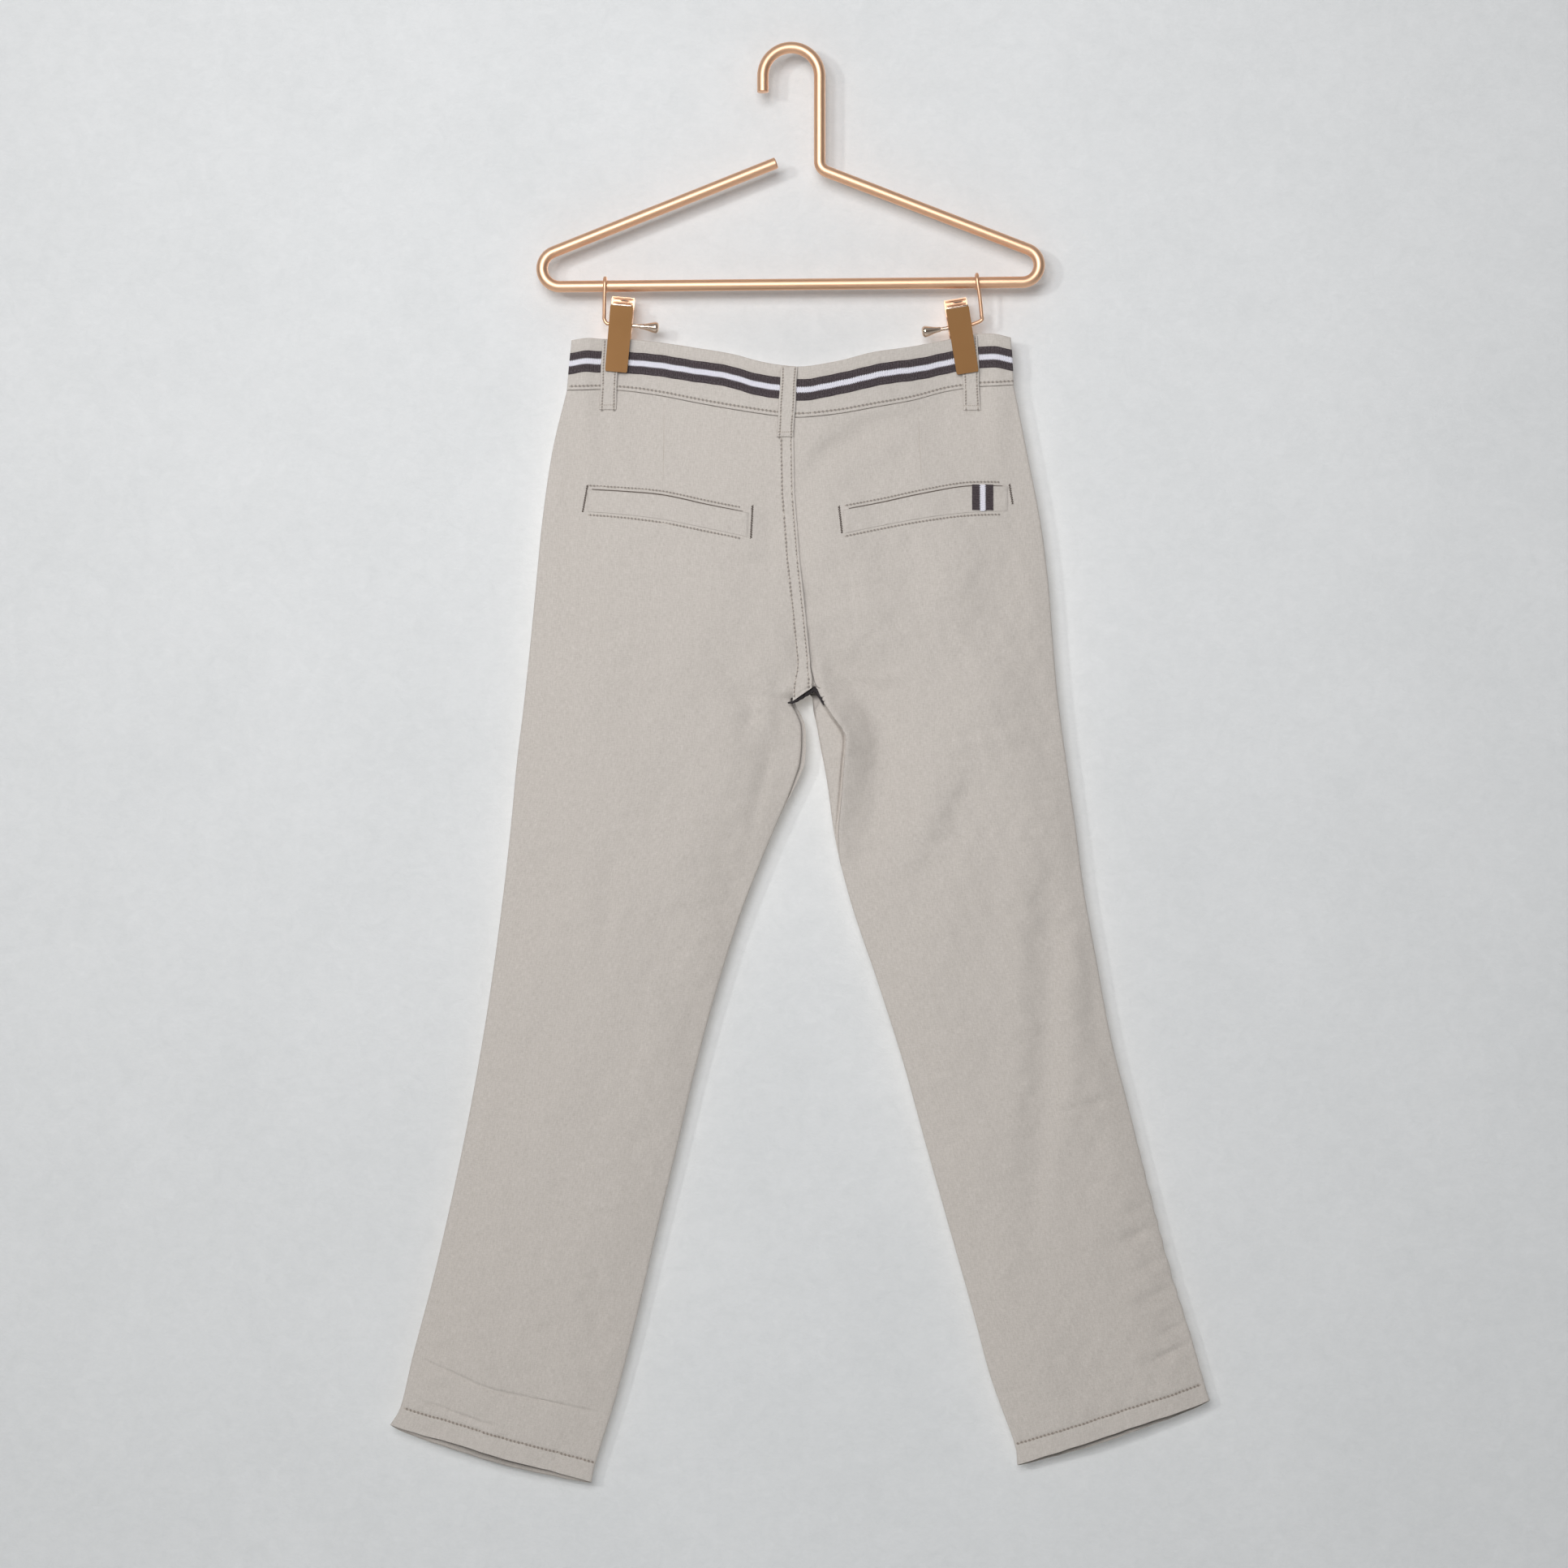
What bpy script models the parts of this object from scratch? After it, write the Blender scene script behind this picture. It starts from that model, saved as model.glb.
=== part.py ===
"""Boys' chino trousers hung by the waistband from two clips on a bent-rod hanger.

The back of the trousers faces -Y, the front faces +Y and +Z is up. The origin is the inside
top of the hanger's hook, where a rail or a nail carries it. Left and right are the wearer's,
and seen from the back they are -X and +X as well. Tables and named sizes are in millimetres,
and every mesh is written in metres.
"""

import math
from collections import namedtuple
from functools import lru_cache

import bmesh
import bpy
from mathutils import Vector

MM = 0.001

# ---- cloth, all in millimetres -------------------------------------------------------------

WALL = 1.5               # panels and waistband
SEAM_GAP = 0.3           # between pieces at a seam
LAID_GAP = 0.45          # between a panel's facets and what is sewn on it
TAPE_THICK = 1.0
TAPE_WIDTH = 15.8
TAPE_DROP = 9.5          # from the waistband's top edge to the tape
LOOP_THICK = 1.2
LOOP_WIDTH = 12.4
WELT_THICK = 1.2
SEAT_SEAM_THICK = 1.0
SEAT_SEAM_LEFT = 5.5     # the felled seam reaches this far on each side of the centre line
SEAT_SEAM_RIGHT = 4.5
HEM_TURNING = 1.1        # the turned-up hem adds this much inside the wall
FRONT_HEM_DROP = 3.0     # the front layer hangs this much below the back one, mid hem
SIDE_ROUNDING = 2.7      # 2 is a plain arc, more is flatter in the middle with rounder sides
PANEL_COLUMNS = 12
ROWS_A_SECTION = 2
WAIST_BLEND = 95.0       # the waistband's flatness fades into the seat over this height

Station = namedtuple("Station", "top_x top_z seam_x seam_z half_depth")
Section = namedtuple("Section", "outer_x outer_z inner_x inner_z half_depth seat_share")
Fold = namedtuple("Fold", "start_x start_z middle_x middle_z end_x end_z half_width depth")
Welt = namedtuple("Welt", "x top_z bottom_z")
Loop = namedtuple("Loop", "name layer x lean below_seam lift")
Clip = namedtuple("Clip", "name pivot_x pivot_z tilt wire_side bar_x leg_x")
Corner = namedtuple("Corner", "x z radius")

# The waistband from the left side to the right: it is pinched flat at the two clips and at
# the sides, and between the clips it sags and stands open.
WAIST = [
    Station(-162.5, -212.5, -166.0, -249.5, 0.0),
    Station(-150.5, -211.0, -153.0, -249.5, 2.0),
    Station(-139.0, -211.5, -140.5, -249.0, 0.0),
    Station(-115.0, -212.0, -117.5, -250.5, 0.0),
    Station(-90.5, -215.5, -93.5, -254.5, 3.5),
    Station(-68.0, -219.5, -68.0, -260.0, 7.5),
    Station(-44.0, -224.0, -45.0, -264.5, 10.5),
    Station(-22.0, -230.0, -24.5, -268.0, 12.5),
    Station(-4.0, -233.0, -6.0, -270.5, 13.5),
    Station(11.0, -233.5, 10.0, -271.0, 13.5),
    Station(36.0, -229.0, 36.0, -268.0, 12.0),
    Station(60.0, -222.5, 62.0, -263.0, 9.0),
    Station(87.0, -218.0, 89.5, -257.5, 4.5),
    Station(113.0, -212.5, 114.5, -250.5, 0.0),
    Station(137.0, -208.0, 138.5, -247.0, 0.0),
    Station(150.5, -208.0, 152.0, -246.5, 2.0),
    Station(162.5, -210.5, 164.5, -245.5, 0.0),
]
CROTCH = 5               # the section at which the legs part
SECTIONS = {
    "left": [
        Section(-166.0, -249.5, -3.0, -270.5, 13.0, 1.0),
        Section(-176.5, -293.5, -2.0, -327.0, 14.5, 1.0),
        Section(-184.0, -345.0, 2.0, -378.0, 15.0, 1.0),
        Section(-189.0, -396.0, 6.5, -420.0, 14.5, 0.85),
        Section(-192.5, -432.0, 9.5, -450.0, 13.0, 0.45),
        Section(-195.5, -461.0, 9.0, -476.0, 12.0, 0.0),
        Section(-198.5, -488.0, 11.0, -506.0, 12.0, 0.0),
        Section(-203.0, -525.0, 1.0, -542.0, 12.0, 0.0),
        Section(-207.0, -568.0, -17.0, -585.0, 11.5, 0.0),
        Section(-212.5, -618.0, -37.0, -636.0, 11.0, 0.0),
        Section(-219.5, -672.0, -54.5, -691.0, 10.5, 0.0),
        Section(-228.0, -728.0, -70.0, -748.0, 10.0, 0.0),
        Section(-239.0, -789.0, -85.0, -812.0, 9.5, 0.0),
        Section(-251.5, -849.0, -100.0, -874.0, 9.5, 0.0),
        Section(-265.0, -907.0, -114.5, -936.0, 9.0, 0.0),
        Section(-279.5, -962.0, -129.5, -994.0, 9.0, 0.0),
        Section(-288.5, -999.5, -144.0, -1040.5, 8.5, 0.0),
        Section(-296.5, -1014.5, -147.5, -1056.5, 8.5, 0.0),
    ],
    "right": [
        Section(164.5, -245.5, -3.0, -270.5, 13.0, 1.0),
        Section(173.5, -291.0, -2.0, -327.0, 14.5, 1.0),
        Section(184.0, -345.0, 2.0, -378.0, 15.0, 1.0),
        Section(190.0, -391.0, 6.5, -420.0, 14.5, 0.85),
        Section(193.0, -429.0, 9.5, -450.0, 13.0, 0.45),
        Section(195.5, -460.0, 9.0, -476.0, 12.0, 0.0),
        Section(198.5, -488.0, 19.0, -504.0, 12.0, 0.0),
        Section(204.0, -528.0, 26.0, -537.0, 12.0, 0.0),
        Section(210.0, -570.0, 32.5, -582.0, 11.5, 0.0),
        Section(216.5, -620.0, 44.5, -630.0, 11.0, 0.0),
        Section(225.5, -670.0, 63.0, -685.0, 10.5, 0.0),
        Section(236.0, -726.5, 82.0, -744.5, 10.0, 0.0),
        Section(250.0, -782.0, 99.0, -806.0, 9.5, 0.0),
        Section(264.5, -840.0, 116.5, -868.0, 9.5, 0.0),
        Section(280.0, -899.0, 134.0, -930.0, 9.0, 0.0),
        Section(295.0, -947.0, 147.5, -980.0, 9.0, 0.0),
        Section(305.0, -982.0, 164.5, -1027.0, 8.5, 0.0),
        Section(309.5, -996.5, 167.0, -1044.0, 8.5, 0.0),
    ],
}

# Troughs pressed into each layer, along a bent line from start to end.
FOLDS = {
    "back": [
        Fold(9.0, -316.0, 32.0, -292.0, 70.0, -281.0, 9.0, 2.4),
        Fold(44.0, -279.0, 64.0, -275.0, 86.0, -270.0, 6.0, 1.4),
        Fold(-160.0, -262.0, -163.0, -318.0, -165.0, -378.0, 11.0, 1.8),
        Fold(24.0, -440.0, 58.0, -482.0, 66.0, -512.0, 13.0, 3.0),
        Fold(66.0, -512.0, 58.0, -560.0, 50.0, -606.0, 12.0, 2.4),
        Fold(187.0, -572.0, 187.0, -660.0, 186.0, -720.0, 11.0, 2.4),
        Fold(186.0, -720.0, 181.0, -800.0, 172.0, -880.0, 10.0, 1.8),
        Fold(-112.0, -802.0, -118.0, -798.0, -132.0, -796.0, 7.0, 1.4),
        Fold(196.0, -776.0, 214.0, -775.0, 232.0, -774.0, 7.0, 1.6),
    ],
    "front": [
        Fold(-46.0, -366.0, -72.0, -346.0, -104.0, -334.0, 12.0, 1.8),
        Fold(26.0, -326.0, 54.0, -308.0, 84.0, -300.0, 12.0, 2.0),
        Fold(-30.0, -456.0, -62.0, -486.0, -74.0, -534.0, 13.0, 2.6),
        Fold(48.0, -446.0, 76.0, -484.0, 84.0, -540.0, 12.0, 2.4),
        Fold(-176.0, -590.0, -184.0, -680.0, -194.0, -770.0, 11.0, 2.0),
        Fold(150.0, -600.0, 160.0, -690.0, 176.0, -780.0, 11.0, 2.2),
    ],
}

BACK_POCKETS = {
    "left": [
        Welt(-150.5, -323.5, -340.0),
        Welt(-123.5, -325.5, -342.5),
        Welt(-94.0, -328.5, -346.5),
        Welt(-62.0, -335.5, -353.0),
        Welt(-31.5, -341.5, -359.5),
    ],
    "right": [
        Welt(38.5, -339.5, -357.0),
        Welt(66.0, -334.0, -351.0),
        Welt(96.0, -327.5, -345.5),
        Welt(129.0, -321.5, -341.0),
        Welt(160.0, -321.0, -339.5),
    ],
}
WELT_COLUMNS = 12
TAB_LEFT_X = 133.0       # the striped tab on the right welt
TAB_RIGHT_X = 148.8
TAB_TOP_Z = -320.0
TAB_BOTTOM_Z = -339.0

BELT_LOOPS = [
    Loop("belt_loop_back_left", "back", -133.5, 2.0, 15.0, 0.0),
    Loop("belt_loop_back_centre", "back", -1.5, 3.0, 15.0, SEAT_SEAM_THICK + SEAM_GAP),
    Loop("belt_loop_back_right", "back", 131.5, -2.0, 17.0, 0.0),
    Loop("belt_loop_front_left", "front", -84.0, 1.0, 15.0, 0.0),
    Loop("belt_loop_front_right", "front", 84.0, -1.0, 15.0, 0.0),
]

FLY_WIDTH = 30.0         # the stitched placket beside the centre front
FLY_LENGTH = 118.0
FLY_CURVE = 0.68         # the share of its length that is straight
POCKET_EDGE_TOP_X = 104.0    # slanted front pocket openings, as distances from the middle
POCKET_EDGE_TOP_Z = -264.0
POCKET_EDGE_BOTTOM_X = 168.0
POCKET_EDGE_BOTTOM_Z = -386.0
POCKET_EDGE_WIDTH = 10.0
BUTTON_X = -9.0
BUTTON_RADIUS = 7.5
BUTTON_THICK = 2.6

# ---- hanger and clips, all in millimetres --------------------------------------------------

ROD_RADIUS = 4.0
ROD_SIDES = 14
HOOK_RADIUS = 21.0       # of the rod's centre line
ARC_STEP = math.radians(14.0)
# The rod's centre line: hook, stem, right arm, trouser bar, left arm with its free end.
ROD_CORNERS = [
    Corner(-HOOK_RADIUS, -29.0, 0.0),
    Corner(-HOOK_RADIUS, ROD_RADIUS, HOOK_RADIUS),
    Corner(HOOK_RADIUS, ROD_RADIUS, HOOK_RADIUS),
    Corner(HOOK_RADIUS, -85.7, 8.0),
    Corner(236.8, -168.9, 12.6),
    Corner(-241.7, -173.5, 13.3),
    Corner(-11.1, -81.2, 0.0),
]
BAR_Z = -171.1           # of the trouser bar's centre line at x = 0
BAR_SLOPE = 0.0096

CLIPS = [
    Clip("clip_left", -126.1, -201.0, 5.1, -1.0, -137.6, -138.2),
    Clip("clip_right", 124.5, -202.2, -9.0, 1.0, 137.2, 140.6),
]
JAW_TOP_WIDTH = 17.0
JAW_BOTTOM_WIDTH = 16.3
JAW_ABOVE_PIN = 13.5
JAW_BELOW_PIN = 35.8
BACK_JAW_RISE = 7.5      # the back jaw's thumb plate stands this much higher
JAW_SHEET = 1.2
JAW_LIP = 0.6            # stiffening lip down each side
JAW_CLEARANCE = 0.3
PIN_HALF = 5.5           # half of the stretch of jaw whose flanges reach the pin
WIRE_RADIUS = 1.35
WIRE_SIDES = 8
WIRE_CLEARANCE = 0.3
SPRING_LENGTH = 10.0
SPRING_RADIUS = 2.6
SPRING_TURNS = 5
KNOB_START = 14.4        # along the pin from the middle of the clip
KNOB_LENGTH = 13.0
KNOB_RADIUS = 3.9

# ---- materials: sRGB colour, roughness, metallic -------------------------------------------

FINISHES = {
    "linen_cotton_twill": ("#C6BEB5", 0.9, 0.0),
    "striped_grosgrain": ("#3F3638", 0.8, 0.0),
    "horn_button": ("#8A7560", 0.45, 0.0),
    "satin_copper": ("#D9A98C", 0.28, 1.0),
    "bronze_sheet": ("#A8794F", 0.35, 1.0),
}


# ---- meshes --------------------------------------------------------------------------------

def linear(channel):
    """One sRGB channel, 0 to 1, as linear light."""
    if channel <= 0.04045:
        return channel / 12.92
    return ((channel + 0.055) / 1.055) ** 2.4


def finish(name):
    """The Principled material of that name, made on first use."""
    if name in bpy.data.materials:
        return bpy.data.materials[name]
    colour, roughness, metallic = FINISHES[name]
    channels = [int(colour[k:k + 2], 16) / 255 for k in (1, 3, 5)]
    material = bpy.data.materials.new(name)
    material.use_nodes = True
    shader = material.node_tree.nodes["Principled BSDF"]
    shader.inputs["Base Color"].default_value = [linear(c) for c in channels] + [1.0]
    shader.inputs["Roughness"].default_value = roughness
    shader.inputs["Metallic"].default_value = metallic
    return material


def add_solid(name, points, faces, material, smooth_angle=40.0):
    """One named object from points in millimetres and faces between them."""
    shape = bmesh.new()
    corners = [shape.verts.new(Vector(p) * MM) for p in points]
    for face in faces:
        shape.faces.new([corners[k] for k in face])
    bmesh.ops.recalc_face_normals(shape, faces=shape.faces)
    mesh = bpy.data.meshes.new(name)
    shape.to_mesh(mesh)
    shape.free()
    mesh.shade_smooth()
    mesh.set_sharp_from_angle(angle=math.radians(smooth_angle))
    mesh.materials.append(finish(material))
    piece = bpy.data.objects.new(name, mesh)
    bpy.context.collection.objects.link(piece)
    return piece


def add_wall(name, outer, inner, material):
    """Closed wall between two grids of points, given as rows of equal length."""
    rows = len(outer)
    columns = len(outer[0])
    points = [p for row in outer for p in row] + [p for row in inner for p in row]
    shift = rows * columns
    faces = []
    for r in range(rows - 1):
        for c in range(columns - 1):
            quad = [r * columns + c, r * columns + c + 1, (r + 1) * columns + c + 1, (r + 1) * columns + c]
            faces.append(quad)
            faces.append([k + shift for k in reversed(quad)])
    rim = [c for c in range(columns)]
    rim += [r * columns + columns - 1 for r in range(1, rows)]
    rim += [(rows - 1) * columns + c for c in range(columns - 2, -1, -1)]
    rim += [r * columns for r in range(rows - 2, 0, -1)]
    for here, there in zip(rim, rim[1:] + rim[:1]):
        faces.append([here, there, there + shift, here + shift])
    return add_solid(name, points, faces, material)


def add_loft(name, rings, material, closed=False):
    """Closed body through rings of points: capped at both ends, or joined end to end."""
    around = len(rings[0])
    points = [p for ring in rings for p in ring]
    faces = []
    pairs = list(range(len(rings) - 1))
    if closed:
        pairs.append(len(rings) - 1)
    for r in pairs:
        ahead = (r + 1) % len(rings)
        for k in range(around):
            beside = (k + 1) % around
            faces.append([r * around + k, r * around + beside, ahead * around + beside, ahead * around + k])
    if not closed:
        faces.append(list(range(around)))
        faces.append([(len(rings) - 1) * around + k for k in range(around)])
    return add_solid(name, points, faces, material)


def add_tube(name, path, radius, sides, material):
    """Round bar along a path, with its rings carried along without twisting."""
    path = [Vector(p) for p in path]
    rings = []
    side = Vector((0.0, 1.0, 0.0))
    for k, place in enumerate(path):
        ahead = (path[min(k + 1, len(path) - 1)] - path[max(k - 1, 0)]).normalized()
        side = (side - ahead * side.dot(ahead)).normalized()
        other = ahead.cross(side)
        turns = [2 * math.pi * s / sides for s in range(sides)]
        rings.append([place + (side * math.cos(a) + other * math.sin(a)) * radius for a in turns])
    return add_loft(name, rings, material)


def add_turned(name, profile, centre, along, material, sides=16, closed=False):
    """Turned body: profile rows are the distance along the axis and the radius there."""
    centre = Vector(centre)
    along = Vector(along).normalized()
    side = along.orthogonal().normalized()
    other = along.cross(side)
    turns = [2 * math.pi * s / sides for s in range(sides)]
    rings = []
    for distance, radius in profile:
        middle = centre + along * distance
        rings.append([middle + (side * math.cos(a) + other * math.sin(a)) * radius for a in turns])
    return add_loft(name, rings, material, closed)


# ---- curves through tables -----------------------------------------------------------------

def smooth_row(rows, place):
    """Values at a place along a table, 0 the first row, on a curve through every row."""
    last = len(rows) - 1
    k = min(max(int(place), 0), last - 1)
    f = place - k
    here = rows[k]
    there = rows[k + 1]
    before = rows[k - 1] if k > 0 else [2 * a - b for a, b in zip(here, there)]
    after = rows[k + 2] if k + 2 <= last else [2 * b - a for a, b in zip(here, there)]
    values = []
    for a, b, c, d in zip(before, here, there, after):
        values.append(b + 0.5 * f * (c - a + f * (2 * a - 5 * b + 4 * c - d + f * (3 * (b - c) + d - a))))
    return values


def smooth_path(points, steps):
    """Points on a smooth curve through the given ones."""
    spans = len(points) - 1
    return [smooth_row(points, k / steps) for k in range(spans * steps)] + [list(points[-1])]


def mix(a, b, share):
    """Between a and b."""
    return a + (b - a) * share


def ease(share):
    """0 to 1 with a soft start and end."""
    share = min(max(share, 0.0), 1.0)
    return share * share * (3 - 2 * share)


# ---- the garment's surface -----------------------------------------------------------------

def waist_at(x):
    """The waistband where its lower seam passes x."""
    k = 0
    while k < len(WAIST) - 2 and WAIST[k + 1].seam_x < x:
        k += 1
    share = (x - WAIST[k].seam_x) / (WAIST[k + 1].seam_x - WAIST[k].seam_x)
    station = Station(*smooth_row(WAIST, k + min(max(share, 0.0), 1.0)))
    return station._replace(half_depth=max(station.half_depth, 0.0))


def section_at(side, place):
    """The cross-section at a place along the leg, 0 the waist seam; both sides share the seat seam."""
    section = Section(*smooth_row(SECTIONS[side], place))
    if side == "right" and place <= CROTCH:
        shared = section_at("left", place)
        section = section._replace(inner_x=shared.inner_x, inner_z=shared.inner_z)
    return section


def fold_depth(layer, x, z):
    """How far the troughs press the layer in at x, z."""
    total = 0.0
    for fold in FOLDS[layer]:
        nearest = 1.0e9
        along = 0.0
        corners = [
            (fold.start_x, fold.start_z),
            (fold.middle_x, fold.middle_z),
            (fold.end_x, fold.end_z),
        ]
        for k in range(2):
            dx = corners[k + 1][0] - corners[k][0]
            dz = corners[k + 1][1] - corners[k][1]
            share = ((x - corners[k][0]) * dx + (z - corners[k][1]) * dz) / (dx * dx + dz * dz)
            share = min(max(share, 0.0), 1.0)
            away = math.hypot(x - corners[k][0] - share * dx, z - corners[k][1] - share * dz)
            if away < nearest:
                nearest = away
                along = 0.5 * (k + share)
        taper = 0.35 + 0.65 * math.sin(math.pi * along)
        total += fold.depth * taper * math.exp(-((nearest / fold.half_width) ** 2))
    return total


def outline_point(side, layer, across, place):
    """x and z on the garment: across runs from 0 at the side seam to 1 at the inner edge."""
    section = section_at(side, place)
    outward = -1.0 if side == "left" else 1.0
    x = mix(section.outer_x, section.inner_x + outward * SEAM_GAP / 2, across)
    z = mix(section.outer_z, section.inner_z, across)
    if place < 2.0:
        straight = mix(SECTIONS[side][0].outer_z, SECTIONS[side][0].inner_z, across)
        seam_x = mix(SECTIONS[side][0].outer_x, SECTIONS[side][0].inner_x, across)
        z += (waist_at(seam_x).seam_z - SEAM_GAP - straight) * (1.0 - ease(place / 2.0))
    last = len(SECTIONS[side]) - 1
    if layer == "front" and place > last - 3:
        z -= FRONT_HEM_DROP * math.sin(math.pi * across) * ease((place - last + 3) / 3)
    return x, z


def hollow_depth(side, layer, across, place):
    """Distance from the middle plane to the inside of a panel."""
    section = section_at(side, place)
    x, z = outline_point(side, layer, across, place)
    seat = min(max(section.seat_share, 0.0), 1.0)
    half_lens = 1.0 - (1.0 - across) ** SIDE_ROUNDING
    full_lens = 1.0 - abs(2.0 * across - 1.0) ** SIDE_ROUNDING
    depth = section.half_depth * mix(full_lens, half_lens, seat)
    waist = waist_at(x)
    depth = mix(waist.half_depth, depth, ease((waist.seam_z - z) / WAIST_BLEND))
    pressed = fold_depth(layer, x, z) * min(1.0, depth / 5.0)
    return SEAM_GAP / 2 + max(depth - pressed, 0.0)


def panel_point(side, layer, across, place, outward=0.0):
    """A point of a panel, moved outward from its inner face."""
    x, z = outline_point(side, layer, across, place)
    facing = -1.0 if layer == "back" else 1.0
    y = facing * (hollow_depth(side, layer, across, place) + outward)
    return x, y, z


def locate(side, layer, x, z):
    """The across and place of the panel point that shows at x, z."""
    low = 0.0
    high = float(len(SECTIONS[side]) - 1)
    across = 0.5
    for _ in range(40):
        place = (low + high) / 2
        left_x, _unused = outline_point(side, layer, 0.0, place)
        right_x, _unused = outline_point(side, layer, 1.0, place)
        across = (x - left_x) / (right_x - left_x)
        if outline_point(side, layer, min(max(across, 0.0), 1.0), place)[1] > z:
            low = place
        else:
            high = place
    return min(max(across, 0.0), 1.0), (low + high) / 2


def centre_x(z):
    """The centre seam at height z, from the waist to the crotch."""
    rows = SECTIONS["left"][:CROTCH + 1]
    for upper, lower in zip(rows, rows[1:]):
        if z >= lower.inner_z:
            return mix(lower.inner_x, upper.inner_x, (z - lower.inner_z) / (upper.inner_z - lower.inner_z))
    return rows[-1].inner_x


@lru_cache(maxsize=None)
def grid_depth(side, layer, row, column):
    """The hollow's depth at one point of a panel's grid."""
    return hollow_depth(side, layer, column / PANEL_COLUMNS, row / ROWS_A_SECTION)


def faceted_depth(side, layer, across, place):
    """The hollow's depth on the facets between the points of a panel's grid."""
    row = min(int(place * ROWS_A_SECTION), (len(SECTIONS[side]) - 1) * ROWS_A_SECTION - 1)
    column = min(int(across * PANEL_COLUMNS), PANEL_COLUMNS - 1)
    down = place * ROWS_A_SECTION - row
    over = across * PANEL_COLUMNS - column
    upper = mix(grid_depth(side, layer, row, column), grid_depth(side, layer, row, column + 1), over)
    lower = mix(grid_depth(side, layer, row + 1, column), grid_depth(side, layer, row + 1, column + 1), over)
    return mix(upper, lower, down)


def outside_y(layer, x, z, outward):
    """y just outside the waistband or panel that shows at x, z."""
    facing = -1.0 if layer == "back" else 1.0
    waist = waist_at(x)
    if z >= waist.seam_z:
        return facing * (SEAM_GAP / 2 + waist.half_depth + WALL + outward)
    side = "left" if x < centre_x(z) else "right"
    across, place = locate(side, layer, x, z)
    return facing * (faceted_depth(side, layer, across, place) + WALL + outward)


# ---- trouser pieces ------------------------------------------------------------------------

def make_panels():
    """Two back and two front panels, from the waist seam to the turned-up hem."""
    for layer in ("back", "front"):
        for side in ("left", "right"):
            last = len(SECTIONS[side]) - 1
            places = [k / ROWS_A_SECTION for k in range((last - 1) * ROWS_A_SECTION + 1)]
            places += [last - 1 + 0.08, float(last)]
            outer = []
            inner = []
            for place in places:
                turning = HEM_TURNING if place > last - 1 else 0.0
                outer_row = []
                inner_row = []
                for c in range(PANEL_COLUMNS + 1):
                    across = c / PANEL_COLUMNS
                    # the turning fades out at the seams, where both layers meet
                    room = hollow_depth(side, layer, across, place) - SEAM_GAP / 2
                    outer_row.append(panel_point(side, layer, across, place, WALL))
                    inner_row.append(panel_point(side, layer, across, place, -min(turning, room)))
                outer.append(outer_row)
                inner.append(inner_row)
            add_wall(f"{layer}_panel_{side}", outer, inner, "linen_cotton_twill")


def waist_grid(stations, layer, drops, outward):
    """Rows across the waistband at given distances below its top edge."""
    facing = -1.0 if layer == "back" else 1.0
    rows = []
    for drop in drops:
        row = []
        for station in stations:
            height = station.top_z - station.seam_z
            share = min(drop / height, 1.0)
            x = mix(station.top_x, station.seam_x, share)
            z = mix(station.top_z, station.seam_z, share)
            y = facing * (SEAM_GAP / 2 + max(station.half_depth, 0.0) + outward)
            row.append((x, y, z))
        rows.append(row)
    return rows


def waist_stations(start, end):
    """Stations between two places along the waistband, two to each row of the table."""
    count = int(round((end - start) * 2))
    return [Station(*smooth_row(WAIST, start + (end - start) * k / count)) for k in range(count + 1)]


def make_waist():
    """Waistband and striped tape: one back piece and two front ones, parted mid front."""
    last = len(WAIST) - 1
    middle = 8.35        # the place along the table where the front is parted
    shift = SEAM_GAP / 30    # half a seam gap, as a share of a table step
    spans = [
        ("back", "", 0.0, float(last)),
        ("front", "_left", 0.0, middle - shift),
        ("front", "_right", middle + shift, float(last)),
    ]
    for layer, side, start, end in spans:
        stations = waist_stations(start, end)
        band = [0.0, TAPE_DROP, TAPE_DROP + TAPE_WIDTH, 100.0]
        outer = waist_grid(stations, layer, band, WALL)
        inner = waist_grid(stations, layer, band, 0.0)
        add_wall(f"waistband_{layer}{side}", outer, inner, "linen_cotton_twill")
        outer = waist_grid(stations, layer, band[1:3], WALL + SEAM_GAP + TAPE_THICK)
        inner = waist_grid(stations, layer, band[1:3], WALL + SEAM_GAP)
        add_wall(f"waist_tape_{layer}{side}", outer, inner, "striped_grosgrain")


def make_belt_loops():
    """Belt loops from the waistband's top edge, over the tape, to just below the seam."""
    over_tape = TAPE_THICK + 2 * SEAM_GAP
    for loop in BELT_LOOPS:
        waist = waist_at(loop.x)
        top = waist.top_z - 1.0
        bottom = waist.seam_z - loop.below_seam
        tape_top = waist.top_z - TAPE_DROP
        heights = [
            (top, SEAM_GAP),
            (tape_top + 3.0, over_tape + 0.1),
            (tape_top - TAPE_WIDTH / 2, over_tape + 0.3),
            (tape_top - TAPE_WIDTH - 3.0, over_tape + 0.1),
            (waist.seam_z - 2.0, max(loop.lift, 0.8) + LAID_GAP),
            (bottom, loop.lift + LAID_GAP),
        ]
        outer = []
        inner = []
        for z, stand in heights:
            lean = loop.lean * (top - z) / (top - bottom)
            outer_row = []
            inner_row = []
            for edge in (-0.5, 0.0, 0.5):
                x = loop.x - lean + edge * LOOP_WIDTH
                outer_row.append((x, outside_y(loop.layer, x, z, stand + LOOP_THICK), z))
                inner_row.append((x, outside_y(loop.layer, x, z, stand), z))
            outer.append(outer_row)
            inner.append(inner_row)
        add_wall(loop.name, outer, inner, "linen_cotton_twill")


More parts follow.
